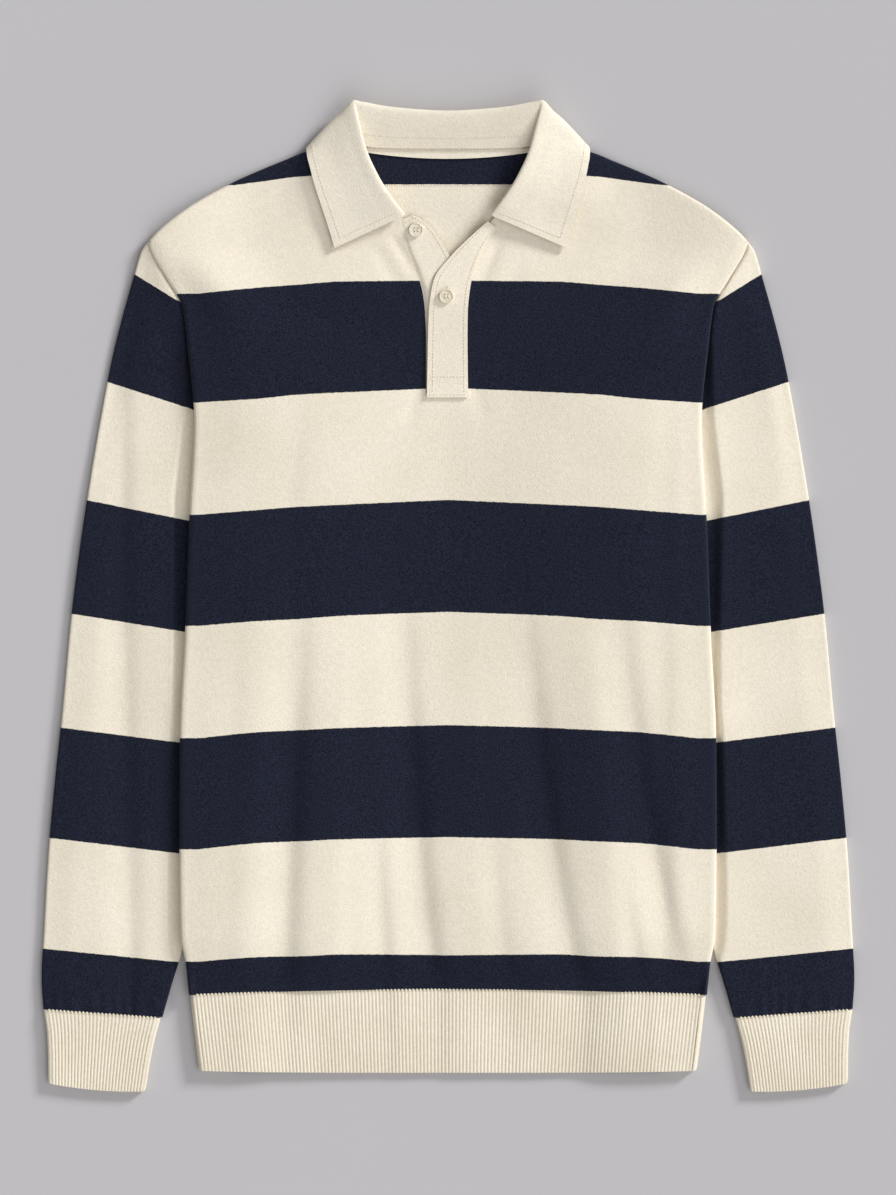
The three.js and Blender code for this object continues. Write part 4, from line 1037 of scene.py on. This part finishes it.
def collar_sections():
    half = []
    for row in COLLAR_ROWS:
        neck, fold = np.array(row["n"], float), np.array(row["f"], float)
        ex, ey, ez = row["e"]
        if ez is None:
            ez = float(front_z(np.array(ex), np.array(ey))) + JERSEY / 2 + GAP + COLLAR / 2 + LEAF_LIFT
        edge = np.array([ex, ey, ez])
        if "d" not in row:
            shoulder, leaf = lerp(fold, edge, 0.24), lerp(fold, edge, 0.6)
            shoulder[2], leaf[2] = lerp(ez, fold[2], 0.74), lerp(ez, fold[2], 0.26)
            half.append([neck, fold, shoulder, leaf, edge])
        else:
            drop = np.array(row["d"], float)
            side = lerp(fold, drop, 0.5)
            side[1] += 0.6
            half.append([neck, fold, side, drop, edge])
    half = np.array(half)
    left, right = half.copy(), half.copy()
    left[..., 0] *= -1
    share = np.maximum(0, 1 - np.arange(len(half)) / 6)[:, None] * np.array([0, 0, 0.24, 0.6, 1])
    right[..., 0] += POINT_SHIFT * share
    return np.concatenate([right, left[:-1][::-1]])


def collar_grid(stations=170, across=44):
    sections = collar_sections()
    tracks = [spline(sections[:, k], stations) for k in range(5)]
    rows = []
    for index in range(stations):
        row = spline([track[index] for track in tracks], across)
        row[:, 2] = np.maximum(row[:, 2], COLLAR / 2)
        rows.append(row)
    return np.array(rows)


def add_band(name, node, grid, thickness):
    """A closed wall in the collar's cloth, and the points on its outer side."""
    points, faces = cloth_wall(grid, thickness)
    piece = add_mesh(name, points, faces, None, grid_uv(grid, 0))
    finish_piece(piece, COLLAR_LOOK, node)
    return piece, points.reshape(2, *grid.shape)


def band_grid(band, height, across, rows):
    at = np.linspace(0, len(band["xl"]) - 1, rows)
    index = np.arange(len(band["xl"]))
    tracks = {key: reader(index, values) for key, values in band.items()}
    share = np.linspace(0, 1, across + 1)
    grid = []
    for row in at:
        x = lerp(tracks["xl"](row), tracks["xr"](row), share)
        y = lerp(tracks["yl"](row), tracks["yr"](row), share)
        grid.append(np.column_stack([x, y, height(x, y, share)]))
    return np.array(grid)


def under_z(x, y, share):
    """The under band's height: its sewn side goes beneath the front's slit edge."""
    return front_z(x, y) - UNDER_DIP * (1 - smooth((share - 0.1) / 0.1))


def upper_z(x, y, share):
    up = smooth((y - 255) / 41)
    return front_z(x, y) + BAND + GAP + 0.2 + 1.6 * up * (1 - share)


def tape_grid():
    x = np.linspace(-TAPE_SHAPE["half"], TAPE_SHAPE["half"], 80)
    low = lerp(TAPE_SHAPE["low_centre"], TAPE_SHAPE["low_side"], (np.abs(x) / TAPE_SHAPE["half"]) ** 2)
    grid = []
    for down in np.linspace(1, 0, 8):
        y = lerp(TAPE_SHAPE["top"], low, down)
        grid.append(np.column_stack([x, y, back_z(x, y) + JERSEY / 2 + GAP + TAPE / 2]))
    return np.array(grid)


# Buttons

def around_circle(count):
    return [(math.cos(2 * math.pi * k / count), math.sin(2 * math.pi * k / count)) for k in range(count)]


def button_plate(name):
    """The plate of a button, with its four holes cut through: points and faces."""
    curve = bpy.data.curves.new(name + "_plate", "CURVE")
    curve.dimensions = "2D"
    curve.fill_mode = "BOTH"
    out, hole, bevel = BUTTON["out"], BUTTON["hole"], BUTTON["bevel"]
    circles = [(0.0, 0.0, BUTTON["radius"] - 0.35, 64)]
    circles += [(sx * out, sy * out, hole, 20) for sx in (-1, 1) for sy in (-1, 1)]
    for cx, cy, radius, count in circles:
        outline = curve.splines.new("POLY")
        outline.points.add(count - 1)
        for point, (cosine, sine) in zip(outline.points, around_circle(count)):
            point.co = ((cx + radius * cosine) * MM, (cy + radius * sine) * MM, 0, 1)
        outline.use_cyclic_u = True
    curve.extrude = (BUTTON["plate"] / 2 - bevel) * MM
    curve.bevel_depth = bevel * MM
    curve.bevel_resolution = 2
    plate = bpy.data.objects.new(name + "_plate", curve)
    bpy.context.collection.objects.link(plate)
    bpy.context.view_layer.update()
    evaluated = plate.evaluated_get(bpy.context.evaluated_depsgraph_get())
    source = evaluated.to_mesh()
    points = np.array([v.co for v in source.vertices]) / MM
    faces = [list(polygon.vertices) for polygon in source.polygons]
    evaluated.to_mesh_clear()
    bpy.data.objects.remove(plate)
    points[:, 2] += BUTTON["plate"] / 2
    return points, faces


def make_button(name, height):
    x, y = BUTTON_PLACES[name]
    points, faces = button_plate(name)
    rim, half = BUTTON["rim"], BUTTON["thick"] / 2
    around, section = 72, 14
    rim_points, rim_faces = [], []
    for k, (cosine, sine) in enumerate(around_circle(around)):
        for j, (outward, upward) in enumerate(around_circle(section)):
            radius = BUTTON["radius"] - rim + rim * outward
            rim_points.append((radius * cosine, radius * sine, half - 0.05 + (half - 0.1) * upward))
            here, ahead = k * section, (k + 1) % around * section
            after = (j + 1) % section
            corners = (here + j, ahead + j, ahead + after, here + after)
            rim_faces.append([len(points) + corner for corner in corners])
    points = np.concatenate([points, rim_points]) + [x, y, height]
    piece = add_mesh(name + "_resin", points, faces + rim_faces)
    finish_piece(piece, BUTTON_LOOK, name)
    out, level = BUTTON["out"], height + BUTTON["plate"] + 0.1
    for k, sx in enumerate((-1, 1)):
        line = [[x + sx * out, y + sy * (out + 0.2), level] for sy in (-1, 0, 1)]
        stitch_row(f"{name}_thread_{k}", line, pitch=3.1, length=3.0, thick=0.7)


front = make_panel("front_panel", "front", 4, front_row, FRONT_CELLS, FRONT_ROLL)
back = make_panel("back_panel", "back", 6, back_row, BACK_CELLS, BACK_ROLL)
sleeve_left = make_sleeve(-1, "sleeve_left")
sleeve_right = make_sleeve(1, "sleeve_right")
cuff_left = make_cuff(-1, "cuff_left")
cuff_right = make_cuff(1, "cuff_right")
hem_band = make_hem_band()
collar, collar_sides = add_band("collar_cloth", "collar", collar_grid(), COLLAR)
BAND_CELLS = (22, 90)
upper_grid = band_grid(UPPER_BAND, upper_z, *BAND_CELLS)
upper_band, upper_sides = add_band("placket_upper_band", "placket_upper", upper_grid, BAND)
under_grid = band_grid(UNDER_BAND, under_z, *BAND_CELLS)
under_band, under_sides = add_band("placket_under_band", "placket_under", under_grid, BAND)
neck_tape, _ = add_band("neck_tape_band", "neck_tape", tape_grid(), TAPE)

top_x, top_y = BUTTON_PLACES["button_top"]
make_button("button_top", float(front_z(np.array(top_x), np.array(top_y))) + BAND / 2 + GAP)
low_x, low_y = BUTTON_PLACES["button_lower"]
low_z = float(upper_z(np.array(low_x), np.array(low_y), 0.5)) + BAND / 2 + 0.15
make_button("button_lower", low_z)

# Sewing
LIFT = [0, 0, 0.1]
LEAF_STATIONS = 62
leaves = collar_sides[0] + LIFT
stations, across = leaves.shape[:2]
stitch_row("collar_edge_stitches", leaves[3:LEAF_STATIONS, across - 4])
stitch_row("collar_edge_stitches_left", leaves[stations - LEAF_STATIONS:stations - 3, across - 4])
for side, row in (("right", 3), ("left", stations - 4)):
    stitch_row("collar_front_stitches_" + side, leaves[row, 14:across - 3])
band_outer = upper_sides[0] + LIFT
rows, columns = band_outer.shape[:2]
for name, column in (("free", 3), ("seam", columns - 3)):
    stitch_row("placket_stitches_" + name, band_outer[2:rows - 4, column])
for name, row in (("foot", 1), ("box", 8)):
    stitch_row("placket_stitches_" + name, band_outer[row, 1:columns - 1])
tape_x = np.linspace(-62, 62, 60)
tape_y = 352.9 + 1.3 * (tape_x / 62) ** 2
tape_line = np.column_stack([tape_x, tape_y, back_z(tape_x, tape_y) + JERSEY / 2 + GAP + TAPE + 0.1])
stitch_row("neck_tape_stitches", tape_line)
middle = stations // 2
stand_side = np.argmin(collar_sides[:, middle, 3, 1])
stitch_row("stand_stitches", collar_sides[stand_side, middle - 42:middle + 43, 3])
under_outer = under_sides[0] + LIFT
stitch_row("under_band_edge_stitches", under_outer[30:, under_outer.shape[1] - 3])
stitch_row("under_band_top_stitches", under_outer[-4, 3:-2])
hole_y = np.linspace(BUTTONHOLE["low"], BUTTONHOLE["high"], 30)
for name, side in (("left", -1), ("right", 1)):
    hole_x = np.full(30, BUTTONHOLE["x"] + side * BUTTONHOLE["half"])
    hole_z = upper_z(hole_x, hole_y, 0.5) + BAND / 2 + 0.05
    stitch_row("buttonhole_" + name, np.column_stack([hole_x, hole_y, hole_z]), 0.75, 0.7, 0.5)
inside_x = np.linspace(-64, 64, 60)
inside_y = np.full(60, BACK_STRIPE_TOP - 0.3)
inside_line = np.column_stack([inside_x, inside_y, back_z(inside_x, inside_y) + JERSEY / 2 + 0.05])
stitch_row("inside_back_stitches", inside_line, 1.9, 1.1, 0.5, look=ROSE_LOOK)

# Floor, light and camera
FLOOR_COLOUR = srgb(190, 188, 190)
FLOOR_SHADE = srgb(187, 185, 188)
REACH = 15.0
FLOOR_Z = -0.0002
floor_mesh = bpy.data.meshes.new("floor")
floor_corners = [(sx * REACH, sy * REACH, FLOOR_Z) for sx, sy in ((-1, -1), (1, -1), (1, 1), (-1, 1))]
floor_mesh.from_pydata(floor_corners, [], [(0, 1, 2, 3)])
floor = bpy.data.objects.new("floor", floor_mesh)
bpy.context.collection.objects.link(floor)
floor_look = bpy.data.materials.new("floor_paper")
floor_tree, floor_shader = nodes_of(floor_look)
floor_maker = Maker(floor_tree)
floor_place = floor_maker.add("ShaderNodeTexCoord").outputs["Object"]
floor_noise = floor_maker.noise(floor_place, 3.0, 2.0)
floor_colour = floor_maker.mix(floor_noise, FLOOR_COLOUR, FLOOR_SHADE)
floor_maker.put(floor_shader.inputs["Base Color"], floor_colour)
floor_shader.inputs["Roughness"].default_value = 0.9
floor_mesh.materials.append(floor_look)


def add_sun(name, azimuth, height, strength, spread):
    """A soft far light: where it stands in degrees round from +X, and its height over the floor."""
    light = bpy.data.lights.new(name, "SUN")
    light.energy = strength
    light.angle = math.radians(spread)
    lamp = bpy.data.objects.new(name, light)
    lamp.rotation_euler = (0, math.radians(90 - height), math.radians(azimuth))
    bpy.context.collection.objects.link(lamp)


add_sun("key", 38, 22, 2.75, 14)
add_sun("high", -10, 55, 0.5, 40)
add_sun("front", -65, 42, 0.85, 50)
world = bpy.data.worlds.new("studio")
world.use_nodes = True
world.node_tree.nodes["Background"].inputs[0].default_value = (1, 1, 1, 1)
world.node_tree.nodes["Background"].inputs[1].default_value = 0.37
bpy.context.scene.world = world
bpy.context.scene.view_settings.view_transform = "Standard"

PIXEL = 0.79 * MM
PHOTO_ROWS = 1195
CAMERA_HEIGHT = 8.0
SENSOR = 24
camera_data = bpy.data.cameras.new("camera")
camera_data.sensor_fit = "VERTICAL"
camera_data.sensor_height = SENSOR
camera_data.lens = SENSOR * CAMERA_HEIGHT / (PHOTO_ROWS * PIXEL)
camera = bpy.data.objects.new("camera", camera_data)
camera.location = (0, -0.5 * PIXEL, CAMERA_HEIGHT)
bpy.context.collection.objects.link(camera)
bpy.context.scene.camera = camera
